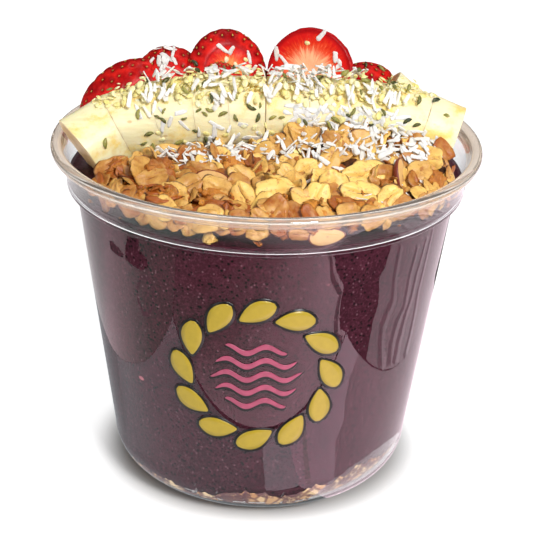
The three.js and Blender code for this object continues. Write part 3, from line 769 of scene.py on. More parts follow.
def berry_shape(berry, seeds, seed):
    """A half, its place on the cross section with the cut's share, and its seeds' pits."""
    sides, centre = 112, np.array(berry.centre)
    up, out, side = frame_along(berry.tip, berry.face)
    angles = around(sides)
    lengths = np.where(np.cos(angles) > 0, berry.tip_length, berry.base_length)
    outline = (np.outer(lengths * np.cos(angles), up)
               + np.outer(berry.half_width * np.sin(angles), side))
    flat = np.stack([np.sin(angles), np.cos(angles)], axis=1)
    # Rings over the cut face, then over the skin: their scale, depth and whether they are cut.
    rows = [(share, 0.1, 1.0) for share in np.linspace(0.05, 0.97, 22)]
    rows += [(math.cos(phi), berry.depth * math.sin(phi), 0.0)
             for phi in np.radians(np.linspace(3, 88, 30))]
    points, faces = loft([centre + outline * scale - out * back for scale, back, _ in rows],
                         centre - out * 0.1, centre - out * berry.depth)
    cross = np.concatenate([*[flat * scale for scale, _, _ in rows], [[0, 0]], [[0, 0]]])
    flag = np.concatenate([np.repeat([row[2] for row in rows], sides), [1.0, 0.0]])
    # A shallow cut leaves a rounded shoulder of skin round its face.
    share = np.clip(np.hypot(*cross.T), berry.cut, 1)
    points = points + np.outer(flag * SHOULDER * np.sqrt(1 - share ** 2), out)
    flag = flag * (share <= berry.cut)
    cross = cross / berry.cut
    outward = points - (centre - out * 0.25 * berry.depth)
    outward /= np.linalg.norm(outward, axis=1, keepdims=True)
    places = np.array([place for place, _ in seeds])
    nearest = np.sqrt(((points[:, None, :] - places[None, :, :]) ** 2).sum(axis=2)).min(axis=1)
    pits = np.exp(-(nearest / 0.75) ** 2) * (1 - flag)
    bulge = 0.35 * smooth_noise(points, 0.12, seed) * (1 - flag)
    points = points + outward * (bulge - 0.55 * pits - 0.1)[:, None]
    relief = 0.22 * smooth_noise(points, 0.35, seed + 4) - 0.25 * np.exp(-(cross ** 2).sum(1) / 0.05)
    points = keep_inside(points + np.outer(relief * flag, out))
    return (points, faces), np.column_stack([cross, flag]), pits


def seed_shape():
    points, faces = icosphere(1)
    points = points * [0.4, 0.25, 0.2]
    points[:, 1] *= 1 - 0.45 * points[:, 0] / 0.52
    return points, faces, 0.0


def make_strawberries():
    material = berry_material()
    shapes, placements = [], []
    for number, berry in enumerate(STRAWBERRIES, 1):
        seeds = berry_seeds(berry)
        shape, cross, pits = berry_shape(berry, seeds, number + 19)
        torn = np.max([np.exp(-(((shape[0] - place) / size) ** 2).sum(1)) for place, size in TORN],
                      axis=0)
        piece(f"strawberry_half_{number}", shape, material, "strawberry", [f"strawberry_{number}"],
              cross=cross, pit=pits, core=np.full(len(pits), berry.core), torn=torn)
        shapes.append(shape)
        for place, normal in seeds:
            basis = basis_on(normal, berry.tip)
            placements.append((0, basis, place - normal * 0.36, rng.uniform(0, 1)))
    colour = tinted_material("berry_seed", (196, 168, 80), (150, 104, 40), (120, 70, 30),
                             0.4, 1.0, 0.03)
    scatter("strawberry_seeds", [seed_shape()], placements, colour, "strawberry")
    return shapes


# ---- Granola -------------------------------------------------------------------------------

# How many forms of each bit there are, and how many bits are tried, in the order of their laying.
OAT_KINDS = 14
LUMP_KINDS = 8
CRUMB_KINDS = 6
FLAT_FLAKES = 120
CLUSTERS = 90
LEANING_OATS = 130
CHIPS = 150
CRUMBS = 170
# The area of the heap: from left to right, and from the front to the banana.
HEAP_ACROSS = (-48, 52)
HEAP_BACK = (-52, -7)
# Where bits stand against the wall: how far out, and between which heights.
WALL_FLAKES = (51.2, 91.2, 94.0)
WALL_CLUSTERS = (50.0, 91.0, 93.4)
HIGH_WALL_FLAKES = (50.2, 93.6, 95.4)
WALL_FLAKE_SHARE = 0.68
# A rolled oat's length, width and thickness, and where its rings lie between middle and edge.
OAT_SIZE = (9.2, 6.8, 1.15)
FINE_SHARES = (0.1, 0.24, 0.4, 0.56, 0.72, 0.85, 0.94, 1.0)
COARSE_SHARES = (0.2, 0.5, 0.75, 0.92, 1.0)
# The large flakes that show most: x, y, lift, slopes of the normal, turn, size and tint.
SHOWN_OATS = [
    (2.5, -38.5, 1.9, 0.1, -1.2, 5, 1.22, 0.0), (12.8, -40.8, 1.9, 0.2, -1.3, 80, 1.0, 0.05),
    (17.5, -34.5, 2.1, 0.15, -1.5, 95, 1.15, 0.05), (25.5, -27.0, 2.4, 0.1, -1.2, 20, 1.3, 0.0),
    (24.5, -37.0, 1.8, 0.1, -0.9, -10, 1.15, 0.0), (-5.5, -40.5, 1.7, -0.3, -1.3, 100, 0.9, 0.2),
    (9.5, -11.5, 2.2, -0.1, -0.9, -20, 1.2, 0.45), (-0.5, -15.5, 1.7, -0.2, -1.2, 40, 0.9, 0.4),
    (31.5, -38.0, 1.8, 0.3, -1.1, 60, 0.9, 0.2), (-12.0, -37.0, 1.9, 0.0, -1.2, -35, 1.0, 0.4),
    (-20.0, -36.0, 2.0, -0.2, -1.0, 30, 1.0, 0.6), (6.5, -29.0, 1.9, 0.1, -1.1, 130, 0.95, 0.2),
    (40.0, -23.0, 1.9, 0.3, -0.9, 50, 0.9, 0.4), (-29.0, -31.0, 2.0, -0.2, -0.8, 10, 0.95, 0.6),
    (-6.0, -29.0, 1.9, 0.2, -1.2, -50, 0.9, 0.3), (16.5, -20.0, 1.9, 0.0, -1.0, 70, 0.9, 0.3),
]
# Almonds: centre, the flat side's normal and the long axis.
ALMONDS = [
    ((35.2, -26.5, 97.6), (0.9, -0.3, 0.3), (0.2, -0.6, -0.75)),
    ((-14.0, -30.0, 96.6), (-0.3, -0.9, 0.5), (0.9, -0.2, 0.1)),
    ((15.6, -49.2, 90.4), (0.3, -0.95, 0.1), (0.95, 0.3, 0.0)),
]


def two_faced(sides, shares, outline, top, bottom):
    """A flat closed form: an outline filled by rings, with a top and a bottom height."""
    edge = outline(around(sides))

    def ring(share, height):
        flat = edge * share
        level = height(flat[:, 0], flat[:, 1], share)
        return np.column_stack([flat, np.broadcast_to(level, sides)])

    rings = [ring(share, top) for share in shares]
    rings += [ring(share, bottom) for share in shares[::-1][1:]]
    return loft(rings, (0, 0, top(0.0, 0.0, 0.0)), (0, 0, bottom(0.0, 0.0, 0.0)))


def oat_shape(seed, sides, shares):
    """A rolled oat: uneven, bent and creased, with a split or two, a brown edge and painted shade
    along its crease.
    """
    length, width, thick = OAT_SIZE
    local = np.random.default_rng(seed)
    phases = local.uniform(0, TAU, 6)
    bend, twist = local.uniform(-0.03, 0.06), local.uniform(-0.06, 0.06)
    splits = [(local.uniform(-0.3, 0.3), 0.3), (local.uniform(0, TAU), local.uniform(0, 0.4))]
    crease = local.uniform(0.3, 0.9)

    def outline(angles):
        uneven = 1 + 0.08 * np.sin(2 * angles + phases[4]) + 0.06 * np.sin(3 * angles + phases[0])
        uneven += 0.05 * np.sin(5 * angles + phases[1]) + 0.03 * np.sin(9 * angles + phases[2])
        for angle, depth in splits:
            away = (angles - angle + math.pi) % TAU - math.pi
            uneven -= depth * 0.45 * np.exp(-(away / 0.14) ** 2)
        return np.column_stack([
            0.5 * length * np.cos(angles) * uneven, 0.5 * width * np.sin(angles) * uneven,
        ])

    def body(x, y):
        return bend * x ** 2 - 0.8 * bend * y ** 2 + twist * x * y

    def top(x, y, share):
        line = crease * np.exp(-((y - 0.15 * np.sin(x)) / 0.4) ** 2) * (1 - (x / length) ** 2)
        ripples = 0.1 * np.sin(2.1 * y + phases[3] + 0.5 * x) + 0.1 * np.sin(1.5 * x + phases[2])
        return body(x, y) + 0.5 * thick * (1 - share ** 6) - line + ripples * (1 - share ** 4)

    def bottom(x, y, share):
        return body(x, y) - 0.5 * thick * (1 - share ** 6)

    points, faces = two_faced(sides, shares, outline, top, bottom)
    inward = np.hypot(points[:, 0] / (0.5 * length), points[:, 1] / (0.5 * width))
    shade = 0.8 * np.clip((inward - 0.8) / 0.26, 0, 1) ** 2
    # The crease line is painted darker: painted shade in the crease.
    line = crease * np.exp(-((points[:, 1] - 0.15 * np.sin(points[:, 0])) / 0.22) ** 2)
    return points, faces, np.maximum(shade, line * (inward < 0.8))


def lump_shape(seed, level):
    """A crumbly lump about 1 in radius, with painted shade in its hollows."""
    points, faces = icosphere(level)
    relief = 0.6 * smooth_noise(points, 1.5, seed) + 0.6 * np.abs(smooth_noise(points, 4.0, seed + 1))
    # The hollows get the edge colour: painted shade.
    return points * (0.82 + relief)[:, None], faces, np.clip(0.55 - 1.6 * relief, 0, 1)


def almond_shape():
    """Half an almond, flat side up, 13 long, with skin below."""
    def outline(angles):
        point = 1 - 0.26 * np.cos(angles)
        return np.column_stack([6.3 * np.cos(angles), 3.3 * np.sin(angles) * point])

    def top(x, y, share):
        return 0.25 * (1 - share ** 4) + 0.15 * np.cos(x) * (1 - share)

    def bottom(x, y, share):
        return -2.6 * np.sqrt(np.maximum(0, 1 - share ** 2)) - 0.05

    sides, rings_without_skin = 36, 4
    points, faces = two_faced(sides, (0.15, 0.4, 0.65, 0.85, 0.93, 1.0), outline, top, bottom)
    return points, faces, (np.arange(len(points)) >= sides * rings_without_skin).astype(float)


def heap_top(x, y):
    to_wall = np.maximum(0, (np.hypot(x, y) - 44) / 10)
    near_row = np.clip((y + 34) / 24, 0, 1)
    drift = np.clip((x + 6) / 22, 0, 1) * np.clip((50 - x) / 16, 0, 1)
    drift = DRIFT_RISE * drift * np.clip((y + 24) / 15, 0, 1) ** 1.4
    return HEAP_LEVEL + HEAP_RISE * near_row + drift - 2 * to_wall ** 2


def in_heap(x, y):
    azimuth = math.degrees(math.atan2(y, x)) % 360
    turned = FLAKE_AZIMUTHS[0] < azimuth < FLAKE_AZIMUTHS[1]
    return turned and math.hypot(x, y) < HEAP_EDGE_RADIUS + 1.5 and y < -6


def heap_core():
    """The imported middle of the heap, with a crumbly top."""
    columns, rows = 90, 44
    azimuths = np.linspace(*np.radians(HEAP_AZIMUTHS), columns)
    edge = (HEAP_EDGE_RADIUS - 0.6) * np.stack([np.cos(azimuths), np.sin(azimuths)], axis=1)
    x, y = np.array([
        (x, -5 + share * (min(y, -6) + 5)) for share in np.linspace(0, 1, rows) for x, y in edge
    ]).T
    floor = acai_top(x, y) - 0.2
    flat = np.stack([x, y, 0 * x], axis=1)
    rough = 1.1 * smooth_noise(flat, 0.24, 11) + 0.5 * smooth_noise(flat, 0.7, 12)
    whole = np.clip((np.degrees(np.arctan2(y, x)) % 360 - HEAP_AZIMUTHS[0]) / 7, 0, 1)
    top = floor + 0.6 + np.maximum(0.4, heap_top(x, y) - 1.1 + rough - floor) * whole
    under = np.column_stack([x * 0.93, y * 0.93, floor])
    return slab(np.column_stack([x, y, top]), under, columns)


def acai_cap():
    """The smoothie's top, for laying things on."""
    rings = disc_rings(BAND_RADIUS - 1, acai_top, 20, 60)
    return loft(rings, (0, 0, 80.0), (0, 0, float(acai_top(0.0, 0.0))))


class Pile:
    """Heights of all that has been laid so far, so that each new bit rests on what is below."""

    STEP = 0.5
    REACH = 58.0
    HIGHEST = 3.5

    def __init__(self, shapes, berries):
        self.first_berry = sum(len(faces) for _, faces in shapes)
        points, faces = joined([*shapes, *berries])
        self.tree = BVHTree.FromPolygons(points.tolist(), faces)
        self.count = int(2 * self.REACH / self.STEP) + 1
        self.map = np.zeros((self.count, self.count))
        for i in range(self.count):
            for j in range(self.count):
                above = Vector((i * self.STEP - self.REACH, j * self.STEP - self.REACH, 200))
                found = self.tree.ray_cast(above, Vector((0, 0, -1)))[0]
                self.map[i, j] = found.z if found else 0
        self.bare = self.map.copy()

    def cells(self, x, y):
        i = np.clip(np.round((x + self.REACH) / self.STEP).astype(int), 0, self.count - 1)
        j = np.clip(np.round((y + self.REACH) / self.STEP).astype(int), 0, self.count - 1)
        return i, j

    def lay(self, x, y, turn, size, tilt, sink, steepest):
        """Lays a flat bit at (x, y) on its supports. Returns its basis and centre."""
        length, width, thick = size
        a, b = np.meshgrid(np.linspace(-0.5, 0.5, 7) * length, np.linspace(-0.45, 0.45, 5) * width)
        a, b = a.ravel(), b.ravel()
        c, s = math.cos(turn), math.sin(turn)
        i, j = self.cells(x + a * c - b * s, y + a * s + b * c)
        heights = self.map[i, j]
        known = heights > ACAI_LEVEL - 1
        if known.sum() < 20:
            return None
        fit = np.column_stack([a, b, np.ones(len(a))])
        slope = np.linalg.lstsq(fit[known], heights[known], rcond=None)[0][:2]
        slope = np.clip(slope, -steepest, steepest) + tilt
        level = np.percentile(heights[known] - fit[known, :2] @ slope, 85) - sink * thick
        if level > self.bare[self.cells(x, y)] + self.HIGHEST:
            return None
        top = fit[:, :2] @ slope + level + thick
        near = top - heights < self.HIGHEST
        self.map[i, j] = np.where(near, np.maximum(heights, top), heights)
        along = unit([c, s, slope[0]])
        normal = unit(np.cross(along, [-s, c, slope[1]]))
        centre = np.array([x, y, level + 0.5 * thick])
        return np.column_stack([along, np.cross(normal, along), normal]), centre


def wall_point(azimuth, radius, height):
    angle = math.radians(azimuth)
    return np.array([radius * math.cos(angle), radius * math.sin(angle), height])


def at_zone(azimuth, zone):
    """A random place against the wall: how far out, and between which heights, is the zone."""
    radius, low, high = zone
    return wall_point(azimuth, radius, rng.uniform(low, high))


def inside_cup(x, y, margin):
    return math.hypot(x, y) + margin < BAND_RADIUS - CUP_WALL - 0.2


def heap_spot(margin):
    """A random place on the heap that stays clear of the wall by the margin."""
    while True:
        x, y = rng.uniform(*HEAP_ACROSS), rng.uniform(*HEAP_BACK)
        if in_heap(x, y) and inside_cup(x, y, margin):
            return x, y


def browner(x, base):
    """A random tint about the base, browner on the left."""
    return base + 0.25 * np.clip((4 - x) / 30, 0, 1) + rng.uniform(-0.35, 0.5)


def facing(lean_x, lean_y, turn):
    """A basis whose normal leans from straight up by the slopes given."""
    return basis_on((lean_x, lean_y, 1.0), (math.cos(turn), math.sin(turn), 0.0))


def against_wall(outward, turn):
    """A basis whose normal points outward, with its length turned from straight up."""
    first, second, third = frame_along(outward, UP)
    along = second * math.cos(turn) + third * math.sin(turn)
    return np.column_stack([along, np.cross(first, along), first])


def flat_flakes(pile):
    places = []
    for _ in range(FLAT_FLAKES):
        x, y = heap_spot(4.2)
        size = rng.uniform(0.75, 1.15)
        laid = pile.lay(x, y, rng.uniform(0, TAU), (8 * size, 5.6 * size, 0.9),
                        rng.normal(0, 0.12, 2), 0.8, 1.2)
        if laid and laid[1][2] < heap_top(x, y) + 3:
            # The flat flakes lie under the rest and take a browner tint than the leaning ones:
            # painted shade.
            places.append((rng.integers(OAT_KINDS), laid[0] * size, laid[1], browner(x, 0.7)))
    return places


def clusters(pile):
    """Clusters that lie on the heap, most of them on its left."""
    places = []
    for _ in range(CLUSTERS):
        x, y = heap_spot(3.2)
        size = rng.uniform(1.6, 3.2)
        if x > rng.uniform(-36, 60):
            continue
        laid = pile.lay(x, y, rng.uniform(0, TAU), (size * 2, size * 1.8, size * 1.1), 0.0, 0.6, 0.5)
        if laid and laid[1][2] < heap_top(x, y) + 3:
            scale = np.diag([size * 1.15, size, size * 0.75])
            places.append((rng.integers(LUMP_KINDS), laid[0] @ scale, laid[1], rng.uniform(0, 1)))
    return places


def leaning_oats(pile):
    """Oats that lean towards the front, some at random and some at places of their own."""
    places = []
    for _ in range(LEANING_OATS):
        x, y = heap_spot(4.4)
        size = rng.uniform(0.7, 1.15)
        height = float(pile.map[pile.cells(x, y)])
        if height < heap_top(x, y) + 2:
            basis = facing(rng.normal(0, 0.9), rng.normal(-1.0, 0.85), rng.uniform(0, TAU))
            centre = np.array([x, y, height + 0.9])
            places.append((rng.integers(OAT_KINDS), basis * size, centre, browner(x, 0.35)))
            pile.map[pile.cells(x, y)] = height + 1.6
    for x, y, lift, lean_x, lean_y, turn, size, tint in SHOWN_OATS:
        basis = facing(lean_x, lean_y, math.radians(turn))
        centre = np.array([x, y, heap_top(x, y) + lift])
        places.append((rng.integers(OAT_KINDS), basis * size, centre, tint))
    return places


def bits_at_wall():
    """Flakes and clusters against the wall, which show through it."""
    flakes, lumps = [], []
    for azimuth in np.arange(FLAKE_AZIMUTHS[0] + 4, FLAKE_AZIMUTHS[1] - 2, 5.2):
        turned = azimuth + rng.uniform(-1.5, 1.5)
        basis = against_wall(wall_point(turned, 1.0, rng.uniform(-0.2, 0.7)), rng.uniform(0, TAU))
        size = rng.uniform(0.5, 0.95)
        place = at_zone(turned, WALL_FLAKES)
        if rng.random() < WALL_FLAKE_SHARE:
            flakes.append((rng.integers(OAT_KINDS), basis * size, place, rng.uniform(0.45, 1)))
        else:
            place = at_zone(turned, WALL_CLUSTERS)
            lumps.append((rng.integers(LUMP_KINDS), basis * 2.6 * size, place, rng.uniform(0.5, 1)))
    for azimuth in np.arange(FLAKE_AZIMUTHS[0] + 6, FLAKE_AZIMUTHS[1] - 5, 5.6):
        turned = azimuth + rng.uniform(-2, 2)
        place = at_zone(turned, HIGH_WALL_FLAKES)
        basis = against_wall(wall_point(turned, 1.0, rng.uniform(0.5, 1.6)), rng.uniform(0, TAU))
        flakes.append((rng.integers(OAT_KINDS), basis * rng.uniform(0.55, 0.85), place,
                       rng.uniform(0.2, 1)))
    return flakes, lumps


def chips(pile):
    """Small broken flakes at all angles."""
    places = []
    for _ in range(CHIPS):
        x, y = heap_spot(2.2)
        size = rng.uniform(0.25, 0.55)
        height = float(pile.map[pile.cells(x, y)])
        if height < heap_top(x, y) + 2.6:
            basis = facing(rng.normal(0, 1.2), rng.normal(-0.6, 1.2), rng.uniform(0, TAU))
            centre = np.array([x, y, height + 0.3])
            basis = basis * size * rng.uniform(0.7, 1.4, 3)
            places.append((rng.integers(OAT_KINDS), basis, centre, rng.uniform(0.2, 1)))
            pile.map[pile.cells(x, y)] = height + 0.7
    return places


def crumbs(pile):
    places = []
    for _ in range(CRUMBS):
        x, y = heap_spot(1.6)
        size = rng.uniform(0.4, 1.05)
        laid = pile.lay(x, y, rng.uniform(0, TAU), (size * 2, size * 2, size), 0.0, 0.4, 0.8)
        if laid and laid[1][2] < heap_top(x, y) + 4:
            places.append((rng.integers(CRUMB_KINDS), laid[0] * size, laid[1], rng.uniform(0, 1)))
    return places


def make_granola(pile, heap):
    """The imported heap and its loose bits, laid from the flat ones below to the crumbs on top."""
    flakes = flat_flakes(pile)
    lumps = clusters(pile)
    leaning = leaning_oats(pile)
    wall_flakes, wall_lumps = bits_at_wall()
    flakes += wall_flakes + chips(pile)
    lumps += wall_lumps
    small = crumbs(pile)
    almonds = [(0, basis_on(normal, along) * 0.8, np.array(centre), 0.5)
               for centre, normal, along in ALMONDS]

    oat = tinted_material("rolled_oat", (251, 208, 114), (162, 84, 24), (84, 34, 8),
                          0.36, 0.24, 0.4, (160, 84, 22))
    cluster = tinted_material("cluster", (222, 144, 50), (158, 82, 26), (62, 24, 8),
                              0.4, 0.5, 0.7, (140, 66, 20))
    skin = tinted_material("almond", (240, 196, 130), (226, 170, 100), (122, 44, 22), 0.4, 0.6, 0.1)
    scatter("granola_oats", [oat_shape(seed, 36, FINE_SHARES) for seed in range(OAT_KINDS)],
            leaning, oat, "granola")
    scatter("granola_flakes", [oat_shape(seed, 24, COARSE_SHARES) for seed in range(OAT_KINDS)],
            flakes, oat, "granola")
    scatter("granola_clusters", [lump_shape(seed, 3) for seed in range(LUMP_KINDS)],
            lumps, cluster, "granola")
    scatter("granola_crumbs", [lump_shape(seed + 40, 1) for seed in range(CRUMB_KINDS)],
            small, cluster, "granola")
    scatter("granola_almonds", [almond_shape()], almonds, skin, "granola")
    piece("granola_core", heap, core_in_painted_shade_material(), "granola", ["granola_heap"])


# ---- Coconut shreds, hemp hearts and hulls -------------------------------------------------

# Where each kind lies: ellipses on the photograph, as middle x and y, half sizes and a count.
SHRED_AREAS = [
    (300, 84, 70, 22, 520), (345, 114, 62, 24, 760), (395, 150, 50, 20, 440),
    (208, 160, 66, 14, 440), (290, 150, 60, 18, 160), (160, 95, 60, 22, 24),
    (320, 168, 60, 16, 36), (390, 195, 50, 22, 16), (200, 120, 70, 22, 12), (120, 80, 20, 6, 4),
    (235, 52, 24, 10, 4, "berry"), (279, 55, 7, 7, 4, "berry"), (163, 58, 14, 8, 10, "berry"),
    (345, 60, 16, 5, 8, "berry"), (215, 72, 10, 6, 3, "berry"), (325, 34, 8, 3, 3, "berry"),
]
HEART_AREAS = [
    (190, 88, 80, 16, 170), (300, 84, 70, 22, 130), (385, 90, 50, 20, 110), (340, 125, 80, 26, 40),
    (225, 145, 110, 22, 26), (130, 102, 40, 10, 30),
    (230, 68, 40, 10, 8, "berry"), (307, 41, 3, 3, 1, "berry"), (173, 76, 8, 4, 2, "berry"),
]
HULL_AREAS = [
    (190, 100, 90, 22, 34), (330, 105, 90, 36, 36), (410, 110, 50, 40, 14), (160, 142, 60, 14, 8),
    (205, 70, 25, 6, 4, "berry"), (370, 68, 14, 4, 2, "berry"), (340, 180, 90, 26, 6),
]
# The bits behind the strawberries: how many, and where there is room for them.
BACK_SHREDS = 90
BACK_HEARTS = 60
BACK_ACROSS = (-46, 46)
BACK_DEEP = (8, 48)
BACK_RADIUS = 47
BACK_HIGHEST = 101
# The steepest slope that a bit takes from what it lies on.
STEEPEST = 1.3
# How upright a face's normal has to be for a bit to be laid on it rather than stuck to it.
UPRIGHT = 0.6


def strand(rings):
    """A loft over rings, closed at the middle of its first and last."""
    return loft(rings, rings[0].mean(axis=0), rings[-1].mean(axis=0))


def shred_shape(seed):
    """A shred of coconut about 1 long: a thin bent ribbon with blunt ends."""
    local = np.random.default_rng(seed)
    bend, twist = local.uniform(-0.1, 0.1), local.uniform(-0.4, 0.4)
    taper, side = local.uniform(0.3, 0.9), local.uniform(-0.12, 0.12)
    ragged = local.uniform(0, TAU, 2)
    angles = around(10)
    across = np.sign(np.cos(angles)) * np.abs(np.cos(angles)) ** 0.6
    deep = np.sign(np.sin(angles)) * np.abs(np.sin(angles)) ** 0.6
    rings = []
    for share in np.linspace(-0.5, 0.5, 9):
        width = 0.5 * (1 - (1 - taper) * (share + 0.5)) * (1 - 3.2 * abs(share) ** 3)
        width *= 1 + 0.1 * math.sin(9 * share + ragged[0]) + 0.07 * math.sin(21 * share + ragged[1])
        y, z = width * across + side * share ** 2 * 4, 0.5 * deep * (1 - 5 * abs(share) ** 6)
        turn = twist * share
        rings.append(np.column_stack([
            share + 0.03 * across, y * math.cos(turn), z + y * math.sin(turn) + bend * share ** 2,
        ]))
    return *strand(rings), 0.0


def heart_shape(seed):
    """A hulled hemp seed about 1 across: a thick uneven disc."""
    points, faces = icosphere(2)
    points = points * (1 + 0.16 * smooth_noise(points, 1.1, seed))[:, None]
    return points * [0.5, 0.42, 0.24], faces, np.clip(2.2 * np.abs(points[:, 1]) - 1.5, 0, 1)


def hull_shape(seed):
    """A bit of dark hull: an uneven crescent about 1 long."""
    wide = np.random.default_rng(seed).uniform(0.2, 0.42)
    rings = []
    for angle in np.linspace(-1.3, 1.3, 9):
        width = wide * math.cos(angle * 1.1) + 0.04
        middle = np.array([0.5 * math.sin(angle), 0.42 * math.cos(angle) - 0.25, 0.0])
        out = np.array([math.sin(angle), math.cos(angle), 0.0])
        corners = [(-0.3, -width), (0.06, -width), (0.16, 0), (0.06, width), (-0.3, width)]
        rings.append(np.array([middle + out * a + UP * b for a, b in corners]))
    return *strand(rings), 0.0


def photo_hit(tree, px, py, camera):
    """Where the photograph's pixel falls on the food, in mm."""
    x = (px - PHOTO / 2 + CENTRE_OFFSET_PIXELS) / FOCAL_PIXELS
    y = (PHOTO / 2 - py) / FOCAL_PIXELS
    turned = camera.matrix_world.to_3x3() @ Vector((x, y, -1))
    start = camera.matrix_world.translation / MM
    return tree.ray_cast(start, turned)[:3]


def spots(areas, pile, camera):
    """Random places in the areas, as the camera sees them on the food, with their normals."""
    places = []
    for px, py, half_x, half_y, count, *on_berry in areas:
        for _ in range(count):
            angle, reach = rng.uniform(0, TAU), math.sqrt(rng.uniform(0, 1))
            found, normal, face = photo_hit(pile.tree, px + half_x * reach * math.cos(angle),
                                            py + half_y * reach * math.sin(angle), camera)
            if found and (face >= pile.first_berry) == bool(on_berry):
                places.append((np.array(found), np.array(normal)))
    rng.shuffle(places)
    return places


def behind(pile, count):
    """Random places over the back of the bowl, clear of the tall strawberries."""
    places = []
    while len(places) < count:
        x, y = rng.uniform(*BACK_ACROSS), rng.uniform(*BACK_DEEP)
        if math.hypot(x, y) < BACK_RADIUS and pile.bare[pile.cells(x, y)] < BACK_HIGHEST:
            places.append((np.array([x, y, 0.0]), UP))
    return places


def stuck(place, normal, thick):
    """A basis and centre for a bit that sticks to a steep face."""
    turn = rng.uniform(0, TAU)
    basis = basis_on(normal, (math.cos(turn), 0.3, math.sin(turn)))
    return basis, place + unit(normal) * 0.2 * thick


def lay_all(pile, places, size_of, kinds, sink, loose):
    """Lays bits, tilted at random by how loose they are. Few stick to the steep faces."""
    made, held = [], []
    for place, normal in places:
        x, y = place[:2]
        size = size_of()
        laid = None
        if abs(normal[2]) > UPRIGHT:
            laid = pile.lay(x, y, rng.uniform(0, TAU), size, rng.normal(0, loose, 2), sink, STEEPEST)
        elif all(np.linalg.norm(place - other) > 0.45 * size[0] for other in held):
            laid = stuck(place, normal, size[2])
            held.append(place)
        if laid and inside_cup(x, y, 1.0):
            made.append((rng.integers(kinds), laid[0] @ np.diag(size), laid[1], rng.uniform(0, 1)))
    return made


def heart_size():
    return np.array([2.3, 1.9, 1.2]) * rng.uniform(0.6, 1.1)


def hull_size():
    return np.array([2.0, 1.8, 1.3]) * rng.uniform(0.7, 1.25)


def shred_size():
    return np.array([rng.uniform(2.2, 4.8), rng.uniform(1.0, 1.8), rng.uniform(0.25, 0.45)])


def make_toppings(pile, camera):
    shreds = [shred_shape(seed) for seed in range(10)]
    hearts = [heart_shape(seed) for seed in range(5)]
    hulls = [hull_shape(seed) for seed in range(6)]
    heart_spots = spots(HEART_AREAS, pile, camera) + behind(pile, BACK_HEARTS)
    heart_places = lay_all(pile, heart_spots, heart_size, len(hearts), 0.5, 0.2)
    hull_spots = spots(HULL_AREAS, pile, camera)
    hull_places = lay_all(pile, hull_spots, hull_size, len(hulls), 0.3, 0.3)
    shred_spots = spots(SHRED_AREAS, pile, camera) + behind(pile, BACK_SHREDS)
    shred_places = lay_all(pile, shred_spots, shred_size, len(shreds), 0.3, 0.4)
    white = tinted_material("coconut", (246, 245, 241), (236, 231, 220), (226, 219, 204),
                            0.6, 0.6, 0.05, soft=0.4)
    cream = tinted_material("hemp_heart", (252, 244, 192), (240, 222, 136), (220, 198, 108),
                            0.4, 0.8, 0.05, soft=0.5)
    green = tinted_material("hemp_hull", (158, 152, 76), (44, 54, 28), (20, 24, 14), 0.4, 0.5, 0.05)
    scatter("coconut_shreds", shreds, shred_places, white, "banana")
    scatter("hemp_hearts", hearts, heart_places, cream, "banana")
    scatter("hemp_hulls", hulls, hull_places, green, "banana")


# ---- Print on the cup: a wreath of leaves round five waves ---------------------------------

PRINT_HEIGHT = 48.5
PRINT_AZIMUTH = -1.5
INK_THICKNESS = 0.035
LEAVES = 12
WREATH_RADIUS = 20.0
# Leaves and waves, and the wider dark ones below them: their size and how far off the cup they lie.
LEAF = (10.8, 5.9, 0.1)
LEAF_EDGE = (12.4, 7.4, 0.06)
WAVE = (1.7, 0.1)
WAVE_EDGE = (2.3, 0.06)
# The waves: their height from the middle of the print, and how far they reach to each side.
WAVES = [(8.4, 8.0), (4.2, 10.6), (0.0, 12.0), (-4.2, 10.6), (-8.4, 8.0)]


def on_cup(flat, lift):
    """Wraps flat (across, up) points round the cup's front."""
    height = PRINT_HEIGHT + flat[:, 1]
    radius = outer_radius(height)
    angle = flat[:, 0] / radius + math.radians(PRINT_AZIMUTH)
    return np.column_stack([
        (radius + lift) * np.sin(angle), -(radius + lift) * np.cos(angle), height,
    ])


def ink_strip(left, right, lift):
    """A thin closed layer of ink between two edges of the same number of points."""
    shares = np.linspace(0, 1, 5)
    flat = np.array([a + s * (b - a) for a, b in zip(left, right) for s in shares])
    return slab(on_cup(flat, lift), on_cup(flat, lift - INK_THICKNESS), len(shares))


def leaf(centre, turn, length, width, lift):
    """A pointed leaf as an ink strip."""
    along = np.array([math.cos(turn), math.sin(turn)])
    across = np.array([-along[1], along[0]])
    left, right = [], []
    for share in np.linspace(0.02, 0.98, 15):
        half = 0.5 * width * math.sin(math.pi * share ** 0.8) ** 0.8
        spine = centre + along * (share - 0.5) * length + across * 0.12 * length * (share - 0.5) ** 2
        left.append(spine + across * half)
        right.append(spine - across * half)
    return ink_strip(left, right, lift)


def wave(height, reach, thick, lift):
    """A wavy band as an ink strip."""
    left, right = [], []
    for share in np.linspace(-1, 1, 40):
        level = height + 1.1 * math.sin(share * reach * 0.62)
        half = 0.5 * thick * math.sqrt(max(0.02, 1 - share ** 4))
        left.append(np.array([share * reach, level + half]))
        right.append(np.array([share * reach, level - half]))
    return ink_strip(left, right, lift)


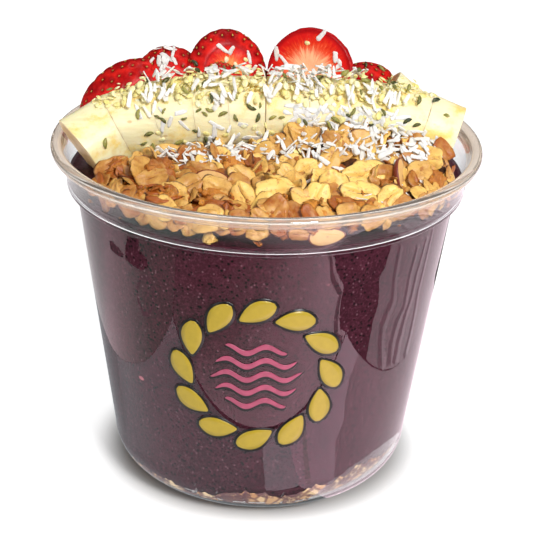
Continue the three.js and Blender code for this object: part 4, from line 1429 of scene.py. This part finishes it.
def make_print():
    """Yellow leaves and pink waves over wider dark ones."""
    leaves, outlines, waves, shadows = [], [], [], []
    for angle in around(LEAVES):
        centre = WREATH_RADIUS * np.array([math.cos(angle), math.sin(angle)])
        turn = angle + math.pi / 2 + 0.5
        outlines.append(leaf(centre, turn, *LEAF_EDGE))
        leaves.append(leaf(centre, turn, *LEAF))
    for height, reach in WAVES:
        shadows.append(wave(height - 0.5, reach + 0.3, *WAVE_EDGE))
        waves.append(wave(height, reach, *WAVE))
    yellow = ink_material("ink_yellow", (182, 154, 38), 0.35, 0.1, 0.6)
    dark = ink_material("ink_dark", (20, 14, 16), 0.4, 0.25, 1.5)
    pink = ink_material("ink_pink", (196, 84, 116), 0.35, 0.35, 0.5)
    piece("print_outlines", joined(outlines + shadows), dark, "clear_plastic")
    piece("print_leaves", joined(leaves), yellow, "clear_plastic")
    piece("print_waves", joined(waves), pink, "clear_plastic")


# ---- Stage, lights and camera --------------------------------------------------------------

# The floor round the bowl as the cup's wall reflects it: a board, and bright and dark things
# round it. The edges are lines of (x, y).
BOARD_LEFT = [(-95, -76), (-93, -53), (-92, -34), (-92, -8), (-90, 17), (-85, 54), (-70, 110)]
FRONT_RIGHT = [(87, -78), (83, -85), (86, -91), (92, -96), (99, -99), (96, -108), (94, -115),
               (97, -125), (96, -150), (100, -178)]
GAP_RIGHT = [(91, -45), (102, -47), (111, -48), (121, -45), (129, -50), (133, -54), (141, -47),
             (154, -43), (400, -90)]
FOLDS = [
    [(92, -24), (103, -31), (112, -34), (119, -30), (128, -22), (140, -26), (160, -25)],
    [(94, -11), (105, -13), (116, -8), (124, 5), (142, 9), (160, 22)],
    [(94, -3), (104, 0), (117, 8), (127, 20), (139, 27), (160, 50)],
    [(93, 16), (102, 25), (113, 33), (125, 37), (135, 47), (160, 70)],
]
BRIGHT_STRIP = [(20, -76), (20, -36), (36, -42), (41, -45), (47, -50), (57, -50), (65, -55),
                (75, -58), (84, -57), (89, -56), (87, -77)]
BLOT = [(-161, -23), (-156, -48), (-149, -45), (-139, -57), (-134, -57), (-137, -44),
        (-143, -29), (-149, -12), (-155, -14)]
SMALL_BLOT = [(-158, 28), (-159, 18), (-156, 1), (-151, -10), (-150, -4), (-153, 25)]
OVAL = [(-134, -42), (-129, -54), (-120, -58), (-114, -55), (-112, -44), (-115, -36),
        (-123, -30), (-130, -31), (-134, -42)]
# How cards are graded: x is weighed by the first number, and added to y it gives the stops' place.
LEFT_BOARD_GLOW = (0.7, [
    (-66, (0.86, 0.91, 0.95)), (-57, (0.78, 0.82, 0.86)), (-50, (0.66, 0.69, 0.73)),
    (-43, (0.56, 0.58, 0.61)), (-37, (0.43, 0.45, 0.47)), (-20, (0.4, 0.42, 0.44))])
RIGHT_BOARD_GLOW = (0.0, [
    (-40, (1.75, 1.35, 1.52)), (-5, (1.45, 1.2, 1.3)), (25, (1.34, 1.12, 1.22))])
FRONT_GLOW = (0.83, [
    (-182, (0.02, 0.08, 0.05)), (-170, (0.14, 0.21, 0.17)), (-154, (0.31, 0.36, 0.31)),
    (-138, (0.56, 0.5, 0.48)), (-130, (0.95, 0.75, 0.77)), (-120, (1.3, 0.98, 1.04)),
    (-104, (1.65, 1.2, 1.3)), (-88, (1.9, 1.4, 1.52)), (-74, (2.25, 1.65, 1.82)),
    (-60, (2.65, 1.92, 2.15)), (-46, (2.8, 2.05, 2.3))])
LEFT_GLOW = (0.0, [
    (-110, (0.0, 0.15, 0.08)), (-75, (0.1, 0.3, 0.22)), (-48, (0.2, 0.42, 0.34)),
    (-28, (0.55, 0.66, 0.62)), (-8, (1.0, 0.86, 0.88)), (30, (1.13, 0.9, 0.96)),
    (68, (0.8, 0.76, 0.78))])
# The painted shadow under the bowl: its middle, and where it starts to fade and ends.
SHADOW_PLACE = (-0.5, 7.0)
SHADOW_REACH = (37.5, 50.5)
BLACK = (0, 0, 0, 1)
# The floor, the dark front, and the lowest card, which the others follow step by step.
FLOOR_HEIGHT = -0.2
FLOOR_REACH = 3000
FRONT_HEIGHT = -0.15
CARD_HEIGHT = -1.2
CARD_STEP = 0.02
# What the lamps point at.
LIT_POINT = (0, 0, 60)


def make_camera():
    data = bpy.data.cameras.new("photo_camera")
    data.sensor_width = 36.0
    data.lens = FOCAL_PIXELS / PHOTO * data.sensor_width
    data.shift_x = CENTRE_OFFSET_PIXELS / PHOTO
    data.clip_start = 0.01
    camera = bpy.data.objects.new("photo_camera", data)
    look = Vector((0, 0, LOOK_HEIGHT * MM))
    back = Vector((0, -math.cos(CAMERA_ELEVATION), math.sin(CAMERA_ELEVATION)))
    turn = back.to_track_quat("Z", "Y").to_matrix().to_4x4() @ Matrix.Rotation(CAMERA_ROLL, 4, "Z")
    camera.matrix_world = Matrix.Translation(look + back * CAMERA_DISTANCE * MM) @ turn
    bpy.context.scene.collection.objects.link(camera)
    bpy.context.scene.camera = camera
    bpy.context.view_layer.update()
    return camera


def flat_stage(name, corners, height, material, hidden_from):
    """A flat thing of the stage, which some kinds of ray pass by."""
    mesh = bpy.data.meshes.new(name)
    points = [(x * MM, y * MM, height * MM) for x, y in corners]
    mesh.from_pydata(points, [], [tuple(range(len(points)))])
    mesh.materials.append(material)
    made = bpy.data.objects.new(name, mesh)
    bpy.context.scene.collection.objects.link(made)
    for ray in hidden_from:
        setattr(made, f"visible_{ray}", False)


def glow(name, colour):
    return Shader(name).set(Base_Color=BLACK, Emission_Color=(*colour, 1), Emission_Strength=1.0)


def graded_glow(name, across, stops):
    """A glow whose colour runs through the stops, each a value of x * across + y and a colour."""
    s = Shader(name)
    x, y, _ = s.split(s.place)[:]
    along = s.plus(s.times(x, across), y)
    colour = (*stops[0][1], 1)
    for (start, _), (end, ahead) in zip(stops, stops[1:]):
        colour = s.paint(colour, s.step(along, start * MM, end * MM), (*ahead, 1))
    return s.set(Base_Color=BLACK, Emission_Color=colour, Emission_Strength=1.0)


def ribbon(line, width):
    """A strip of floor along a line of points."""
    line = np.array(line, float)
    ahead = np.gradient(line, axis=0)
    aside = np.column_stack([-ahead[:, 1], ahead[:, 0]])
    aside *= 0.5 * width / np.linalg.norm(aside, axis=1, keepdims=True)
    return [tuple(p) for p in np.concatenate([line + aside, (line - aside)[::-1]])]


def make_cards():
    """Glowing cards that show only as reflections in the wall, each a little over the last."""
    cards = [
        ([*BOARD_LEFT, (20, 110), (20, -76)], LEFT_BOARD_GLOW),
        ([(2, -76), (4, -52), (20, -52), (20, -76)], (2.2, 2.15, 2.35)),
        ([(20, -76), (20, 110), (93, 110), (93, 16), (90, -45), (89, -56), (87, -77)],
         RIGHT_BOARD_GLOW),
        (BRIGHT_STRIP, (3.0, 2.25, 2.62)),
        ([(-95, -77), *FRONT_RIGHT, (-170, -178)], FRONT_GLOW),
        ([(-400, -178), (-170, -178), *BOARD_LEFT, (-70, 300), (-400, 300)], LEFT_GLOW),
        ([*GAP_RIGHT, (400, 300), (93, 300), (93, 16)], (1.42, 1.2, 1.3)),
        (BLOT, (0, 0, 0)), (SMALL_BLOT, (0.1, 0.1, 0.1)),
        (ribbon(OVAL, 3), (0.3, 0.34, 0.34)),
        (ribbon([(x - 6, y) for x, y in FRONT_RIGHT], 5), (0.6, 0.5, 0.54)),
        (ribbon([(35, -76), (24, -50)], 3), (2.1, 1.9, 1.95)),
    ]
    front = [(-700, -1500), (700, -1500), (700, -178), (-700, -178)]
    flat_stage("dark_front", front, FRONT_HEIGHT, glow("dark_front", (0.06, 0.05, 0.055)),
               ("camera", "diffuse", "shadow"))
    for fold in FOLDS:
        cards.append((ribbon(fold, 6), (0.8, 0.62, 0.7)))
        cards.append((ribbon([(x, y + 7) for x, y in fold], 5), (1.95, 1.6, 1.75)))
    for index, (corners, colour) in enumerate(cards):
        name = f"card_{index}"
        material = glow(name, colour) if len(colour) == 3 else graded_glow(name, *colour)
        flat_stage(name, corners, CARD_HEIGHT + CARD_STEP * index, material,
                   ("camera", "diffuse", "transmission", "shadow"))


def make_floor():
    """A white floor with a painted shadow under the bowl."""
    s = Shader("stage_white")
    middle = (SHADOW_PLACE[0] * MM, SHADOW_PLACE[1] * MM, 0)
    away = s.add("ShaderNodeVectorMath", {0: s.place, 1: middle}, operation="DISTANCE")
    # The floor glows dimly near the bowl and fully further out: a painted shadow.
    out_of_painted_shadow = s.step(away.outputs["Value"], *[reach * MM for reach in SHADOW_REACH])
    white = s.set(Base_Color=(0.42, 0.42, 0.42, 1.0), Roughness=0.9, Specular_IOR_Level=0.0,
                  Emission_Color=s.paint((0.02, 0.02, 0.02, 1), out_of_painted_shadow, (0.9, 0.9, 0.9, 1)),
                  Emission_Strength=1.0)
    corners = [(-1, -1), (1, -1), (1, 1), (-1, 1)]
    corners = [(x * FLOOR_REACH, y * FLOOR_REACH) for x, y in corners]
    flat_stage("floor", corners, FLOOR_HEIGHT, white, ["glossy"])


def area_light(name, place, size, power):
    data = bpy.data.lights.new(name, "AREA")
    data.shape = "RECTANGLE"
    data.size, data.size_y = size[0] * MM, size[1] * MM
    data.energy = power
    light = bpy.data.objects.new(name, data)
    place = Vector(place) * MM
    aim = (place - Vector(LIT_POINT) * MM).to_track_quat("Z", "Y")
    light.matrix_world = Matrix.Translation(place) @ aim.to_matrix().to_4x4()
    bpy.context.scene.collection.objects.link(light)


def make_light():
    world = bpy.data.worlds.new("studio")
    world.use_nodes = True
    tree = world.node_tree
    paths = tree.nodes.new("ShaderNodeLightPath").outputs
    shown = tree.nodes["Background"]
    shown.inputs["Color"].default_value = (1, 1, 1, 1)

    def room(strength, over, ray):
        """Rays of the kind given see the room at this strength, and others see what is over."""
        light = tree.nodes.new("ShaderNodeBackground")
        light.inputs["Strength"].default_value = strength
        light.inputs["Color"].default_value = (1, 1, 1, 1)
        both = tree.nodes.new("ShaderNodeMixShader")
        tree.links.new(paths[ray], both.inputs[0])
        tree.links.new(over, both.inputs[1])
        tree.links.new(light.outputs[0], both.inputs[2])
        return both.outputs[0]

    lit = room(0.08, shown.outputs[0], "Is Diffuse Ray")
    lit = room(0.03, lit, "Is Glossy Ray")
    lit = room(0.8, lit, "Is Transmission Ray")
    tree.links.new(lit, tree.nodes["World Output"].inputs["Surface"])
    bpy.context.scene.world = world
    bpy.context.scene.view_settings.view_transform = "Standard"
    area_light("key", (230, -560, 570), (150, 150), 5.6)
    area_light("left_panel", (-560, -300, 300), (260, 500), 0.9)
    area_light("right_panel", (600, -160, 320), (260, 500), 0.7)
    area_light("top_back", (40, 200, 760), (420, 360), 1.2)


make_floor()
make_cards()
make_light()
camera = make_camera()
make_cup()
seam = ragged_seam()
make_base(seam)
make_smoothie(seam)
bananas = make_bananas()
berries = make_strawberries()
heap = heap_core()
pile = Pile([acai_cap(), heap, *bananas], berries)
make_granola(pile, heap)
make_toppings(pile, camera)
make_print()
